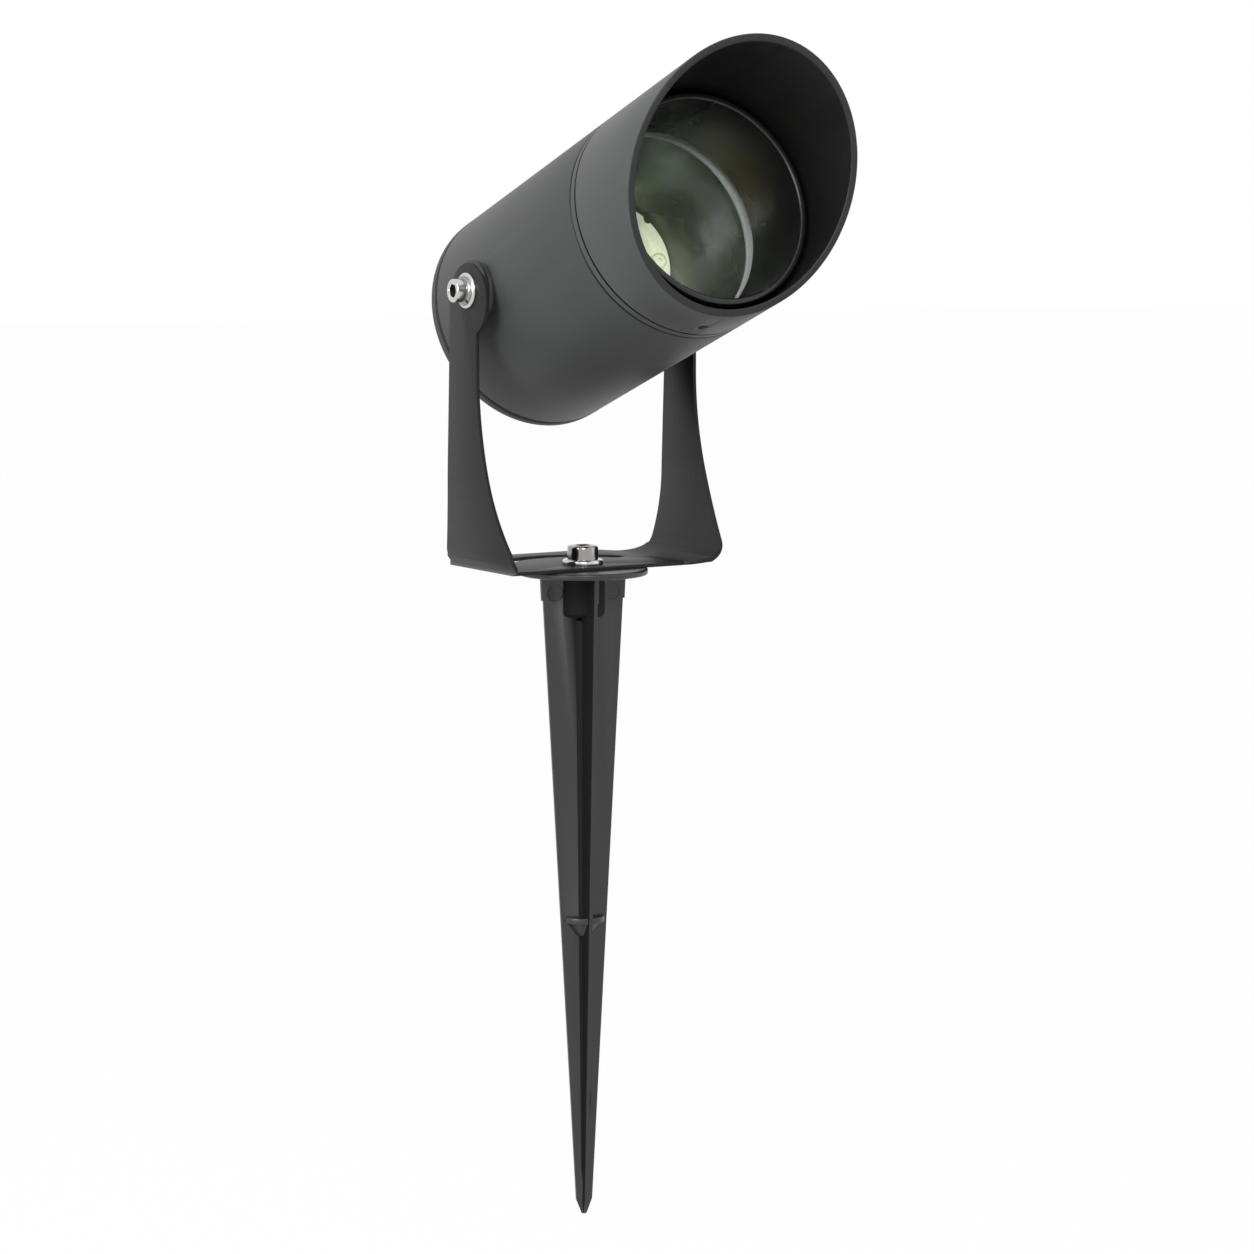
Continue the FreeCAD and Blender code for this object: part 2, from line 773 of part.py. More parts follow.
def arm_outline():
    """Side view of the yoke: swept front and rear edges, a narrow neck and a round ear."""
    neck_top = pivot_height - ear_drop
    front_top = swept(arm_front, front_sweep, front_sweep_top, front_sweep_top, -1)
    front_middle = swept(arm_front, front_sweep, front_sweep_top,
                         (front_sweep_top + front_round_top) / 2.0, -1)
    front_low = swept(arm_front, front_sweep, front_sweep_top, front_round_top, -1)
    slope = math.asin((front_sweep_top - front_round_top) / front_sweep)
    centre = front_low + Vec(0, math.cos(slope), -math.sin(slope)) * front_round
    turn = (slope - math.pi / 2.0) / 2.0
    round_middle = centre + Vec(0, -math.cos(turn), math.sin(turn)) * front_round
    round_end = centre - Z_AXIS * front_round

    rear_top = swept(arm_rear, rear_sweep, rear_sweep_top, rear_sweep_top, 1)
    rear_middle = swept(arm_rear, rear_sweep, rear_sweep_top,
                        (rear_sweep_top + rear_sweep_low) / 2.0, 1)
    rear_low = swept(arm_rear, rear_sweep, rear_sweep_top, rear_sweep_low, 1)
    plate_low = flange_thick - overlap
    ear_front = Vec(0, arm_front, neck_top)
    ear_rear = Vec(0, pivot_y + ear_radius, neck_top)
    edges = [
        Part.makeLine(ear_front, front_top),
        Part.Arc(front_top, front_middle, front_low).toShape(),
        Part.Arc(front_low, round_middle, round_end).toShape(),
        Part.makeLine(round_end, Vec(0, round_end.y, plate_low)),
        Part.makeLine(Vec(0, round_end.y, plate_low), Vec(0, plate_rear + overlap, plate_low)),
        Part.makeLine(Vec(0, plate_rear + overlap, plate_low),
                      Vec(0, plate_rear + overlap, flange_thick + rear_sweep_low)),
        Part.makeLine(Vec(0, plate_rear + overlap, flange_thick + rear_sweep_low), rear_low),
        Part.Arc(rear_low, rear_middle, rear_top).toShape(),
        Part.makeLine(rear_top, ear_rear),
        Part.makeLine(ear_rear, ear_front),
    ]
    side = Part.Face(Part.Wire(edges))
    reach = arm_outer + sheet
    side.translate(Vec(-reach, 0, 0))
    block = side.extrude(Vec(2.0 * reach, 0, 0))
    ear = rod(ear_radius, 2.0 * reach, Vec(-reach, pivot_y, neck_top), X_AXIS)
    return block.fuse(ear)


def plan_outline():
    """Top view of the yoke: the plate's edges, which flare at the front and neck in behind."""
    reach = arm_outer + sheet

    def half(side):
        def at(x, y):
            return Vec(side * x, y, 0)

        return [
            Part.Arc(at(flare_start, plate_front), at(flare_middle, flare_middle_y),
                     at(flare_end, flare_end_y)).toShape(),
            Part.makeLine(at(flare_end, flare_end_y), at(reach, flare_end_y)),
            Part.makeLine(at(reach, flare_end_y), at(reach, notch_y)),
            Part.makeLine(at(reach, notch_y), at(notch_half, notch_y)),
            Part.Arc(at(notch_half, notch_y), at(neck_half, neck_y), at(side_half, side_y)).toShape(),
            Part.Arc(at(side_half, side_y), at(corner_half, corner_y),
                     at(rear_half, plate_rear)).toShape(),
        ]

    edges = half(1) + half(-1)
    for x, y in ((rear_half, plate_rear), (flare_start, plate_front)):
        edges.append(Part.makeLine(Vec(x, y, 0), Vec(-x, y, 0)))
    plan = Part.Face(Part.Wire(Part.__sortEdges__(edges)))
    return plan.extrude(Vec(0, 0, 2.0 * pivot_height))


def arc_slot():
    """Curved slot behind the bolt, about the swivel axis."""
    deep = sheet + 2.0 * overlap
    outer = Part.makeCylinder(slot_radius + slot_half_width, deep, ORIGIN, Z_AXIS,
                              2.0 * slot_half_angle)
    inner = Part.makeCylinder(slot_radius - slot_half_width, deep)
    band = outer.cut(inner)
    band.rotate(ORIGIN, Z_AXIS, 90.0 - slot_half_angle)
    ends = []
    for side in (-1, 1):
        angle = math.radians(90.0 + side * slot_half_angle)
        at = Vec(slot_radius * math.cos(angle), slot_radius * math.sin(angle), 0)
        ends.append(rod(slot_half_width, deep, at, Z_AXIS))
    slot = band.fuse(ends)
    slot.translate(Vec(0, 0, flange_thick - overlap))
    return slot


def yoke():
    sheet_metal = strap().common(arm_outline()).common(plan_outline())
    swivel = rod(m8_radius + bolt_play, drill_long, Vec(0, 0, flange_thick - overlap), Z_AXIS)
    reach = arm_outer + sheet
    tilt = rod(m6_radius + bolt_play, 2.0 * reach, Vec(-reach, pivot_y, pivot_height), X_AXIS)
    return sheet_metal.cut([swivel, tilt, arc_slot()])


# ---- swivel bolt -----------------------------------------------------------------------------
def swivel_bolt():
    screw = socket_screw(m8_radius, m8_head, m8_head_high, m8_key, m8_key_deep, m8_length)
    screw.translate(Vec(0, 0, flange_thick + sheet + m8_washer_thick))
    return screw


def swivel_washer():
    base = flange_thick + sheet
    disc = rod(m8_washer_radius, m8_washer_thick, Vec(0, 0, base), Z_AXIS)
    return disc.cut(rod(m8_radius + bolt_play, drill_long, Vec(0, 0, base - overlap), Z_AXIS))


# ---- spike -----------------------------------------------------------------------------------
def blade_section(reach, root_half, edge_half, height):
    """Cross-section of a vane that points along +X."""
    corners = [Vec(0, -root_half, height), Vec(reach, -edge_half, height),
               Vec(reach, edge_half, height), Vec(0, root_half, height)]
    return Part.makePolygon(corners + corners[:1])


def vane():
    """One tapered blade along +X, thinner at its edge and at its foot, with a wider head."""
    top = blade_section(vane_top, vane_root_half, vane_edge_half, vane_sunk)
    low = blade_section(vane_low, vane_low_root_half, vane_low_edge_half, vane_low_z)
    tip = blade_section(tip_flat, 0.8 * tip_flat, 0.6 * tip_flat, tip_z)
    head_top = blade_section(head_reach, head_half, head_half, vane_sunk)
    head_low = blade_section(head_reach - head_taper, head_half, head_half, -head_deep)
    body = Part.makeLoft([top, low], True, True)
    body = body.fuse([Part.makeLoft([low, tip], True, True),
                      Part.makeLoft([head_top, head_low], True, True)])
    return body


def dimple_tools():
    """Shallow round recesses on both faces of a vane's head."""
    tools = []
    for side in (-1, 1):
        start = side * (head_half - dimple_deep)
        tools.append(rod(dimple_radius, dimple_deep + overlap, Vec(dimple_at, start, dimple_z),
                         Vec(0, side, 0)))
    return tools


def spike():
    """Moulded ground spike: flange, hub, four vanes about a core, and a web half way down."""
    flange = Part.makeCylinder(flange_radius, flange_thick)
    rims = [e for e in flange.Edges if isinstance(e.Curve, Part.Circle)]
    flange = flange.makeFillet(flange_round, rims)
    hub = rod(hub_radius, hub_deep + vane_sunk, Vec(0, 0, -hub_deep), Z_AXIS)
    hub_rim = [e for e in hub.Edges if abs(e.BoundBox.ZMax + hub_deep) < 0.01]
    hub = hub.makeFillet(hub_round, hub_rim)
    core = Part.makeCone(core_low, core_top, -vane_low_z, Vec(0, 0, vane_low_z), Z_AXIS)
    web_low = web_z - web_thick
    web = rod(web_radius, web_thick, Vec(0, 0, web_low), Z_AXIS)
    cone = Part.makeCone(web_cone_low, web_cone_top, web_cone, Vec(0, 0, web_low - web_cone), Z_AXIS)
    pieces = [hub, core, web, cone]
    dimples = []
    for k in range(4):
        marks = dimple_tools() if k % 2 == 0 else []
        for shape, group in [(vane(), pieces)] + [(mark, dimples) for mark in marks]:
            shape.rotate(ORIGIN, Z_AXIS, vane_turn + 90.0 * k)
            group.append(shape)
    body = flange.fuse(pieces)
    pocket = rod(insert_radius, insert_deep, Vec(0, 0, flange_thick - insert_deep), Z_AXIS)
    deep_hole = rod(m8_radius + slip_gap, m8_length, Vec(0, 0, flange_thick - m8_length), Z_AXIS)
    return body.cut(dimples + [pocket.fuse(deep_hole)])


def spike_insert():
    """Brass thread insert moulded into the hub."""
    sleeve = rod(insert_radius, insert_deep, Vec(0, 0, flange_thick - insert_deep), Z_AXIS)
    bore = rod(m8_radius + slip_gap, 2.0 * insert_deep, Vec(0, 0, -1.5 * insert_deep), Z_AXIS)
    return sleeve.cut(bore)


save_head(barrel(), "barrel")
save_head(rear_cap(), "rear_cap")
save_head(rear_cap_seal(), "rear_cap_seal")
save_head(rear_cap_screws(), "rear_cap_screws")
save_head(gland_washer(), "gland_washer")
save_head(gland_body(), "gland_body")
save_head(gland_nut(), "gland_nut")
save_head(gland_bush(), "gland_bush")
save_head(gland_lock_nut(), "gland_lock_nut")
save_head(driver(), "driver")
save_head(heat_sink(), "heat_sink")
save_head(cob_board(), "cob_board")
save_head(cob_emitter(), "cob_emitter")
save_head(cob_holder(), "cob_holder")
save_head(cob_holder_screws(), "cob_holder_screws")
save_head(reflector(), "reflector")
save_head(glass_seal(), "glass_seal")
save_head(front_glass(), "front_glass")
save_head(glass_ring(), "glass_ring")
save_head(hood(), "hood")
save_head(hood_grub_screw(), "hood_grub_screw")
save_head(tilt_screws(), "tilt_screws")
save_head(tilt_washers(), "tilt_washers")
save_head(tilt_spring_washers(), "tilt_spring_washers")
save_head(friction_washers(), "friction_washers")
save(yoke(), "yoke")
save(swivel_bolt(), "swivel_bolt")
save(swivel_washer(), "swivel_washer")
save(spike(), "spike")
save(spike_insert(), "spike_insert")
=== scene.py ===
# %% [markdown]
# # A garden spike spotlight
# The lamp is a round, powder-coated head with a slanted glare hood. It hangs between the arms of a
# folded yoke, and the yoke turns on a bolt in the top of a moulded ground spike. The engineering
# model is already here as named parts on named bodies. This lesson gives every part its finish, and
# re-makes the parts whose edges and curves the light has to run over.
#
# No engineering part is moved. A new piece is made round the same axes, in the same millimetres, and
# rides on the same body, so the lamp still tilts, turns and comes apart.

# %% Load the frame
import math

import bmesh
import bpy
from mathutils import Matrix, Vector


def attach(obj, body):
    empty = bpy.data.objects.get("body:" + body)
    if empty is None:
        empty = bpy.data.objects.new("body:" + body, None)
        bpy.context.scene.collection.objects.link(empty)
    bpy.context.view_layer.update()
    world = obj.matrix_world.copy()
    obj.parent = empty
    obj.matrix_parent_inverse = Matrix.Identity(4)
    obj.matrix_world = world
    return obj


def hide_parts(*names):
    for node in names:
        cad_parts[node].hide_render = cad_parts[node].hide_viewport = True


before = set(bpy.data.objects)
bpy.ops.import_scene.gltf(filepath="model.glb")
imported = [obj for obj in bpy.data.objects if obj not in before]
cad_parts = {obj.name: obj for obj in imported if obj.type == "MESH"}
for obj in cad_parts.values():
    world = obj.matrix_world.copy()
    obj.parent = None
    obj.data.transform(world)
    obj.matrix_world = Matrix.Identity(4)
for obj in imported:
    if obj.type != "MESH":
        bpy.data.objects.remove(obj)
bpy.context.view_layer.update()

MM = 0.001

# %% [markdown]
# ## The camera
# The view was worked out from the outline of the head, the yoke and the spike in the photograph.
# The camera stands 1.3 m away, in front and to the left, a little above the tilt screws, and looks
# slightly down. A long lens keeps the perspective as gentle as the real one. A camera can also be
# placed by eye, but then every later comparison with the photograph is a guess.

# %% Camera
LENS_PIXELS = 3139.5                    # focal length in pixels of the square frame
FRAME_PIXELS = 1254.0
SENSOR = 36.0
YAW = math.radians(31.854)
PITCH = math.radians(-7.243)
CAMERA_AT = Vector((-674.3, -1120.3, 143.8)) * MM


def place_camera():
    camera = bpy.data.cameras.new("photo_camera")
    camera.sensor_width = SENSOR
    camera.lens = SENSOR * LENS_PIXELS / FRAME_PIXELS
    camera.clip_start = 0.05
    stand = bpy.data.objects.new("photo_camera", camera)
    bpy.context.scene.collection.objects.link(stand)
    aim = Vector((math.sin(YAW) * math.cos(PITCH), math.cos(YAW) * math.cos(PITCH), math.sin(PITCH)))
    stand.rotation_euler = aim.to_track_quat("-Z", "Y").to_euler()
    stand.location = CAMERA_AT
    bpy.context.scene.camera = stand
    return camera


print("lens", round(place_camera().lens, 2), "mm")

# %% [markdown]
# ## Where the head sits
# The head is drawn as if its beam ran level along -Y, because a round thing is easiest to draw about
# a plain axis. One matrix then lifts it to the tilt screws and tips it up as in the photograph. The
# beam runs a little above the screws and starts a little behind them.

# %% Place of the head
PIVOT = Vector((0.0, 1.8, 118.6))       # tilt axis, mm
HEAD_TILT = math.radians(19.6)
TILT_AT = 3.8                           # tilt axis, along the beam and below it
BEAM_RISE = 1.3
AT_PIVOT = Matrix.Translation(PIVOT) @ Matrix.Rotation(-HEAD_TILT, 4, "X")
ON_HEAD = AT_PIVOT @ Matrix.Translation((0.0, TILT_AT, BEAM_RISE))
print("the beam starts at", [round(part, 1) for part in ON_HEAD.translation], "mm")

# %% [markdown]
# ## Rounded outlines
# Most of the lamp comes off a lathe, so most pieces here start as half a cross-section. Each corner
# has its own small radius, because no real edge is sharp: the thin highlight along an edge is what
# makes a part look machined or moulded. A bevel on the finished solid would also round the edges, but
# rounding the outline first costs almost nothing and never fails.

# %% An outline with round corners
def rounded(corners, steps=4):
    """Turns (s, r, round) corners into a smooth outline of (s, r) points."""
    outline = []
    for index, (s, r, size) in enumerate(corners):
        corner = Vector((s, r))
        if size <= 0.0:
            outline.append(corner)
            continue
        back = (Vector(corners[index - 1][:2]) - corner).normalized()
        ahead = (Vector(corners[(index + 1) % len(corners)][:2]) - corner).normalized()
        half = back.angle(ahead) / 2.0
        centre = corner + (back + ahead).normalized() * (size / math.sin(half))
        first = corner + back * (size / math.tan(half)) - centre
        last = corner + ahead * (size / math.tan(half)) - centre
        for step in range(steps + 1):
            outline.append(centre + first.slerp(last, step / steps))
    return outline


SQUARE = [(0.0, 1.0, 0.2), (1.0, 1.0, 0.2), (1.0, 2.0, 0.2), (0.0, 2.0, 0.2)]
print("a square with round corners has", len(rounded(SQUARE)), "points")

# %% [markdown]
# ## Spinning an outline
# The spin operator does what the lathe does. An outline that touches the axis makes a solid disc, and
# one that stays clear of it makes a ring, so only the second kind is closed into a loop.

# %% Spin
def spun(corners, place, steps=160):
    """A closed mesh from an outline turned about the -Y axis, then put in its place."""
    mesh = bmesh.new()
    outline = rounded(corners)
    dots = [mesh.verts.new((0.0, -s, r)) for s, r in outline]
    pairs = list(zip(dots, dots[1:]))
    if min(r for _, r in outline) > 0.0:
        pairs.append((dots[-1], dots[0]))
    lines = [mesh.edges.new(pair) for pair in pairs]
    bmesh.ops.spin(mesh, geom=dots + lines, cent=(0, 0, 0), axis=(0, 1, 0), dvec=(0, 0, 0),
                   angle=math.tau, steps=steps, use_merge=True, use_duplicate=False)
    bmesh.ops.remove_doubles(mesh, verts=mesh.verts, dist=1e-5)
    bmesh.ops.transform(mesh, matrix=place, verts=mesh.verts)
    return mesh


trial = spun(SQUARE, ON_HEAD, 12)
print("a square ring in 12 steps has", len(trial.faces), "faces")
trial.free()

# %% [markdown]
# ## Handing a piece over
# A finished mesh becomes an object that rides on one body and takes the place of engineering parts.
# Its faces are smooth, and a line stays crisp only where the surface turns by more than 32 degrees.

# %% Smooth faces and the hand-over
SMOOTH_BELOW = math.radians(32.0)


def smooth_faces(mesh):
    """Smooth faces with crisp lines only where the surface really turns."""
    bmesh.ops.recalc_face_normals(mesh, faces=mesh.faces)
    for face in mesh.faces:
        face.smooth = True
    for edge in mesh.edges:
        edge.smooth = len(edge.link_faces) == 2 and edge.calc_face_angle() < SMOOTH_BELOW


def piece(name, mesh, materials, body, *nodes):
    """Hands a mesh made in millimetres over as a piece that takes the place of CAD nodes."""
    bmesh.ops.scale(mesh, vec=(MM, MM, MM), verts=mesh.verts)
    smooth_faces(mesh)
    data = bpy.data.meshes.new(name)
    mesh.to_mesh(data)
    mesh.free()
    for material in materials if isinstance(materials, tuple) else (materials,):
        data.materials.append(material)
    thing = bpy.data.objects.new(name, data)
    bpy.context.scene.collection.objects.link(thing)
    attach(thing, body)
    if nodes:
        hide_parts(*nodes)
    print(name, len(data.polygons), "faces on", body)


print("edges stay crisp above", round(math.degrees(SMOOTH_BELOW)), "degrees")

# %% [markdown]
# ## Softening an engineering part
# The yoke, the spike and the castings keep the shape of their engineering parts. What they lack is
# the tiny round along each edge, which on the real lamp comes from tumbling, moulding and a layer of
# powder. So a copy is merged, its flat faces are joined, and each sharp edge gets a narrow two-step
# bevel. Drawing these shapes again would take far longer and could drift from the real parts.

# %% A copy with rounded edges
SHARP = math.radians(35.0)
FLAT = math.radians(0.6)


def softened(name, node, materials, body, width, merge=0.001, second=None, reshape=None):
    """A copy of an engineering part whose sharp edges are rounded by a width in millimetres.

    The faces that second(face) picks get the second material, and reshape(place) moves a point.
    """
    mesh = bmesh.new()
    mesh.from_mesh(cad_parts[node].data)
    bmesh.ops.scale(mesh, vec=(1000.0, 1000.0, 1000.0), verts=mesh.verts)
    bmesh.ops.remove_doubles(mesh, verts=mesh.verts, dist=merge)
    for dot in mesh.verts if reshape else ():
        dot.co = reshape(dot.co)
    bmesh.ops.dissolve_limit(mesh, angle_limit=FLAT, verts=mesh.verts, edges=mesh.edges)
    sharp = [e for e in mesh.edges if len(e.link_faces) == 2 and e.calc_face_angle() > SHARP]
    bmesh.ops.bevel(mesh, geom=sharp, offset=width, offset_type="OFFSET", segments=2, profile=0.5,
                    affect="EDGES", clamp_overlap=True, material=-1)
    for face in mesh.faces:
        face.material_index = int(bool(second and second(face)))
    piece(name, mesh, materials, body, node)


print("edges are rounded above", round(math.degrees(SHARP)), "degrees")

# %% [markdown]
# ## Finishes as sums
# A finish is a small graph of nodes. Writing `0.4 + 0.1 * grain` is easier to read than wiring Math
# nodes by hand, so one class wraps a socket and turns arithmetic into nodes.

# %% Arithmetic on sockets
class Signal:
    """A socket that takes part in arithmetic."""

    def __init__(self, graph, socket):
        self.graph = graph
        self.socket = socket

    def math(self, operation, first, second):
        return self.graph.node("ShaderNodeMath", {"operation": operation}, {0: first, 1: second})

    def __add__(self, other):
        return self.math("ADD", self, other)

    __radd__ = __add__

    def __sub__(self, other):
        return self.math("SUBTRACT", self, other)

    def __rsub__(self, other):
        return self.math("SUBTRACT", other, self)

    def __mul__(self, other):
        return self.math("MULTIPLY", self, other)

    __rmul__ = __mul__

    def __pow__(self, other):
        return self.math("POWER", self, other)

    def __abs__(self):
        return self.math("ABSOLUTE", self, 0.0)


print("a socket can be added, taken away, multiplied and raised to a power")

# %% [markdown]
# ## One way to add a node
# Every other node comes from one method. It sets what the node is first, then fills its sockets with
# a constant or a link. The same method serves the materials and the world behind the lamp.

# %% Trees of nodes
def set_stops(colour_ramp, stops):
    """Colours along a ramp; stops are (place, colour) pairs."""
    while len(colour_ramp.elements) < len(stops):
        colour_ramp.elements.new(0.5)
    for element, (at, colour) in zip(colour_ramp.elements, stops):
        element.position = at
        element.color = (*colour, 1.0)


class Graph:
    """A tree of nodes and the way to add to it."""

    def __init__(self, tree):
        self.tree = tree

    def fill(self, socket, value):
        if isinstance(value, Signal):
            self.tree.links.new(value.socket, socket)
        elif socket.type == "RGBA":
            socket.default_value = (*value, 1.0)
        else:
            socket.default_value = value

    def node(self, kind, settings=None, inputs=None, output=0):
        made = self.tree.nodes.new(kind)
        for key, value in (settings or {}).items():
            if key == "stops":
                set_stops(made.color_ramp, value)
            else:
                setattr(made, key, value)
        for key, value in (inputs or {}).items():
            self.fill(made.inputs[key], value)
        return Signal(self, made.outputs[output])

    def vector(self, operation, first, second=None, output=0):
        inputs = {0: first} if second is None else {0: first, 1: second}
        return self.node("ShaderNodeVectorMath", {"operation": operation}, inputs, output)

    def clamp(self, value, low, high, to_low=0.0, to_high=1.0):
        return self.node("ShaderNodeMapRange", {"clamp": True}, {
            "Value": value, "From Min": low, "From Max": high, "To Min": to_low, "To Max": to_high})

    def ray(self, kind):
        return self.node("ShaderNodeLightPath", output=kind)

    def seen(self):
        """Above 0 where the camera looks, straight on, in a reflection or through the glass."""
        return self.ray("Is Camera Ray") + self.ray("Is Glossy Ray") + self.ray("Is Transmission Ray")


print("a graph adds nodes, vector sums, clamped ranges and kinds of ray")

# %% [markdown]
# ## A finish
# A finish is a graph with one Principled shader at its end. Patterns read Object coordinates, so they
# stay in place on a part when it moves, and colours are written as the grey that the eye sees.

# %% Finishes
class Finish(Graph):
    """A material made of one Principled shader and the nodes that feed it."""

    def __init__(self, name):
        self.material = bpy.data.materials.new(name)
        self.material.use_nodes = True
        super().__init__(self.material.node_tree)
        self.shader = self.tree.nodes["Principled BSDF"]
        self.own_surface = Signal(self, self.shader.outputs[0])

    def place(self, scale=(1.0, 1.0, 1.0)):
        """Object coordinates, stretched."""
        where = self.node("ShaderNodeTexCoord", output="Object")
        return self.node("ShaderNodeMapping", {}, {"Vector": where, "Scale": scale})

    def noise(self, scale, detail=2.0, rough=0.5, where=None):
        return self.node("ShaderNodeTexNoise", {}, {
            "Vector": where or self.place(), "Scale": scale, "Detail": detail, "Roughness": rough})

    def ramp(self, value, stops):
        return self.node("ShaderNodeValToRGB", {"stops": stops}, {"Fac": value})

    def mix(self, share, first, second):
        """Two colours; 6, 7 and 2 are the Mix node's sockets for colour."""
        return self.node("ShaderNodeMix", {"data_type": "RGBA"}, {0: share, 6: first, 7: second}, 2)

    def bump(self, height, strength, distance, under=None):
        inputs = {"Height": height, "Strength": strength, "Distance": distance}
        if under is not None:
            inputs["Normal"] = under
        return self.node("ShaderNodeBump", {}, inputs)

    def blend(self, share, first, second):
        """Mixes two shaders and sends the result to the surface."""
        mixed = self.node("ShaderNodeMixShader", {}, {0: share, 1: first, 2: second})
        self.fill(self.tree.nodes["Material Output"].inputs["Surface"], mixed)
        return mixed

    def feed(self, **sockets):
        """Sends values or signals to the shader: Base_Color=..., Roughness=..."""
        for key, value in sockets.items():
            self.fill(self.shader.inputs[key.replace("_", " ")], value)


def tone(level, tint=(1.0, 1.0, 1.0)):
    """A grey written as its 0-255 screen value, turned to light, with a slight tint."""
    value = level / 255.0
    light = value / 12.92 if value <= 0.04045 else ((value + 0.055) / 1.055) ** 2.4
    return tuple(light * part for part in tint)


print("tone 90 is", round(tone(90)[0], 4))

# %% [markdown]
# ## Masks that follow the head
# Some finishes change with the place on the head: painted shade deep in the hood, black in a seam. A
# mask made from the distance to the beam, or from a plane across it, is exact and needs no painted
# texture. It reads the same Object coordinates as the noises, so it tilts with the head.

# %% Distance from the beam, and planes across it
BEAM = Vector((0.0, -1.0, 0.0))         # in head coordinates


def from_beam(finish):
    """Where a point lies, seen from the beam's start."""
    where = finish.node("ShaderNodeTexCoord", output="Object")
    return finish.vector("SUBTRACT", where, ON_HEAD.translation * MM)


def beam_radius(finish):
    """Distance from the middle of the beam, in metres."""
    across = finish.vector("CROSS_PRODUCT", from_beam(finish), ON_HEAD.to_3x3() @ BEAM)
    return finish.vector("LENGTH", across, output=1)


def past_plane(finish, normal, at):
    """1 beyond a plane given in head coordinates (mm), 0 before it."""
    height = finish.vector("DOT_PRODUCT", from_beam(finish), ON_HEAD.to_3x3() @ normal, output=1)
    return finish.clamp(height, (at - 0.2) * MM, at * MM)


print("the beam points along", [round(part, 3) for part in ON_HEAD.to_3x3() @ BEAM])

# %% [markdown]
# ## Powder coat
# The head and the yoke are sprayed with dry powder and baked. Up close the skin is a fine, even
# grain over a soft orange-peel, dark anthracite with a faint cool cast. Grain and peel are two
# noises in the bump, and a third, very broad one moves the colour and gloss so little that one only
# sees it as life in the surface. Deep in the hood the coat is darker: painted shade, where little
# light gets in. The mouth's cut lip is darker too, and the seams between the castings hold a black
# line.

# %% Powder-coat finish
COOL = (0.97, 1.0, 1.02)
# The first level is painted shade deep in the hood; the others are the darker lip and the black seam
# lines.
BORE_SHADE_LEVEL, LIP_LEVEL, SEAM_LEVEL = 14, 34, 6
HOOD_TURN = math.radians(15.8)
HOOD_LONG, HOOD_SHORT, HOOD_ACROSS = 158.9, 108.5, 96.0
SLANT = (HOOD_LONG - HOOD_SHORT) / HOOD_ACROSS      # slope of the hood's slanted mouth
MOUTH = Vector((-SLANT * math.sin(HOOD_TURN), -1.0, -SLANT * math.cos(HOOD_TURN)))
MOUTH_AT = (HOOD_LONG + HOOD_SHORT) / 2.0


def powder_coat(name, level, gloss=0.46, shine=0.45, shade_radius=0.0, joints=()):
    """Inside the given radius (mm) the coat is darker: painted shade deep in the hood. The mouth's
    lip is darker too.

    Joints are (from, to) along the beam, in mm, where a black line is drawn in a groove or a seam.
    """
    coat = Finish(name)
    fine = coat.noise(2600.0, 3.0, 0.6)
    peel = coat.noise(620.0, 2.0, 0.5)
    cloud = coat.noise(22.0, 4.0, 0.55)
    specks = coat.clamp(fine, 0.60, 0.72)
    shade = coat.ramp(cloud, [(0.25, tone(level - 4, COOL)), (0.75, tone(level + 4, COOL))])
    shade = coat.mix(0.35 * specks, shade, tone(level + 22, COOL))
    # Painted shade: inside the hood's bore the colour goes down to a near-black level.
    if shade_radius:
        bore_shade = coat.clamp(beam_radius(coat), shade_radius * MM, (shade_radius + 0.5) * MM, 1.0, 0.0)
        shade = coat.mix(bore_shade, shade, tone(BORE_SHADE_LEVEL, COOL))
        lip = past_plane(coat, MOUTH, MOUTH_AT - 0.25)
        shade = coat.mix(lip * coat.clamp(fine, 0.35, 0.5, 0.8, 1.0), shade, tone(LIP_LEVEL, COOL))
    for first, last in joints:
        seam = past_plane(coat, BEAM, first) * (1.0 - past_plane(coat, BEAM, last))
        shade = coat.mix(seam, shade, tone(SEAM_LEVEL))
    surface = coat.bump(fine, 0.30, 0.00010)
    surface = coat.bump(peel, 0.16, 0.00030, surface)
    coat.feed(Base_Color=shade, Roughness=gloss + 0.10 * cloud - 0.05 * specks, Normal=surface)
    coat.feed(IOR=1.5, Specular_IOR_Level=shine)
    return coat.material


# %% [markdown]
# ## Four coats from one function
# Head, hood, yoke and ring come out of the same booth, but the photograph shows them at different
# depths of grey: the hood is the palest, the folded yoke and the ring are the darkest. One function
# with a level for each keeps the same grain on all of them.

# %% The four coats
CAP_SEAM, BARREL_END = (-34.1, -32.2), (82.15, 83.0)
HOOD_FOOT, HOOD_GROOVE = (82.5, 83.3), (86.2, 87.3)
head_coat = powder_coat("anthracite_powder_coat", 66, 0.44, 0.38, joints=(CAP_SEAM, BARREL_END))
hood_coat = powder_coat("hood_powder_coat", 76, 0.44, 0.40, shade_radius=45.5,
                        joints=(HOOD_FOOT, HOOD_GROOVE))
yoke_coat = powder_coat("yoke_powder_coat", 30, 0.42, 0.26)
ring_coat = powder_coat("ring_powder_coat", 28, 0.22)
print("coats", head_coat.name, hood_coat.name, yoke_coat.name, ring_coat.name)

# %% [markdown]
# ## Moulded nylon
# The spike is black glass-filled nylon. It comes out of its mould with a satin skin, faint flow
# lines along its length and small cloudy places, so the noise is stretched along the spike. Two
# round ejector dimples under the flange get a near-black line round their rims: painted shade. The
# deep faces get a darker, duller nylon of their own: painted shade for the corners' shadow.

# %% Nylon finish
UP = Vector((0.0, 0.0, 1.0))
VANE_TURN = math.radians(-12.8)
VANE_LINE = Vector((math.cos(VANE_TURN), math.sin(VANE_TURN), 0.0))     # along the two wide vanes
DIMPLE_OUT, DIMPLE_Z, DIMPLE_RADIUS = 12.4, -7.5, 3.5


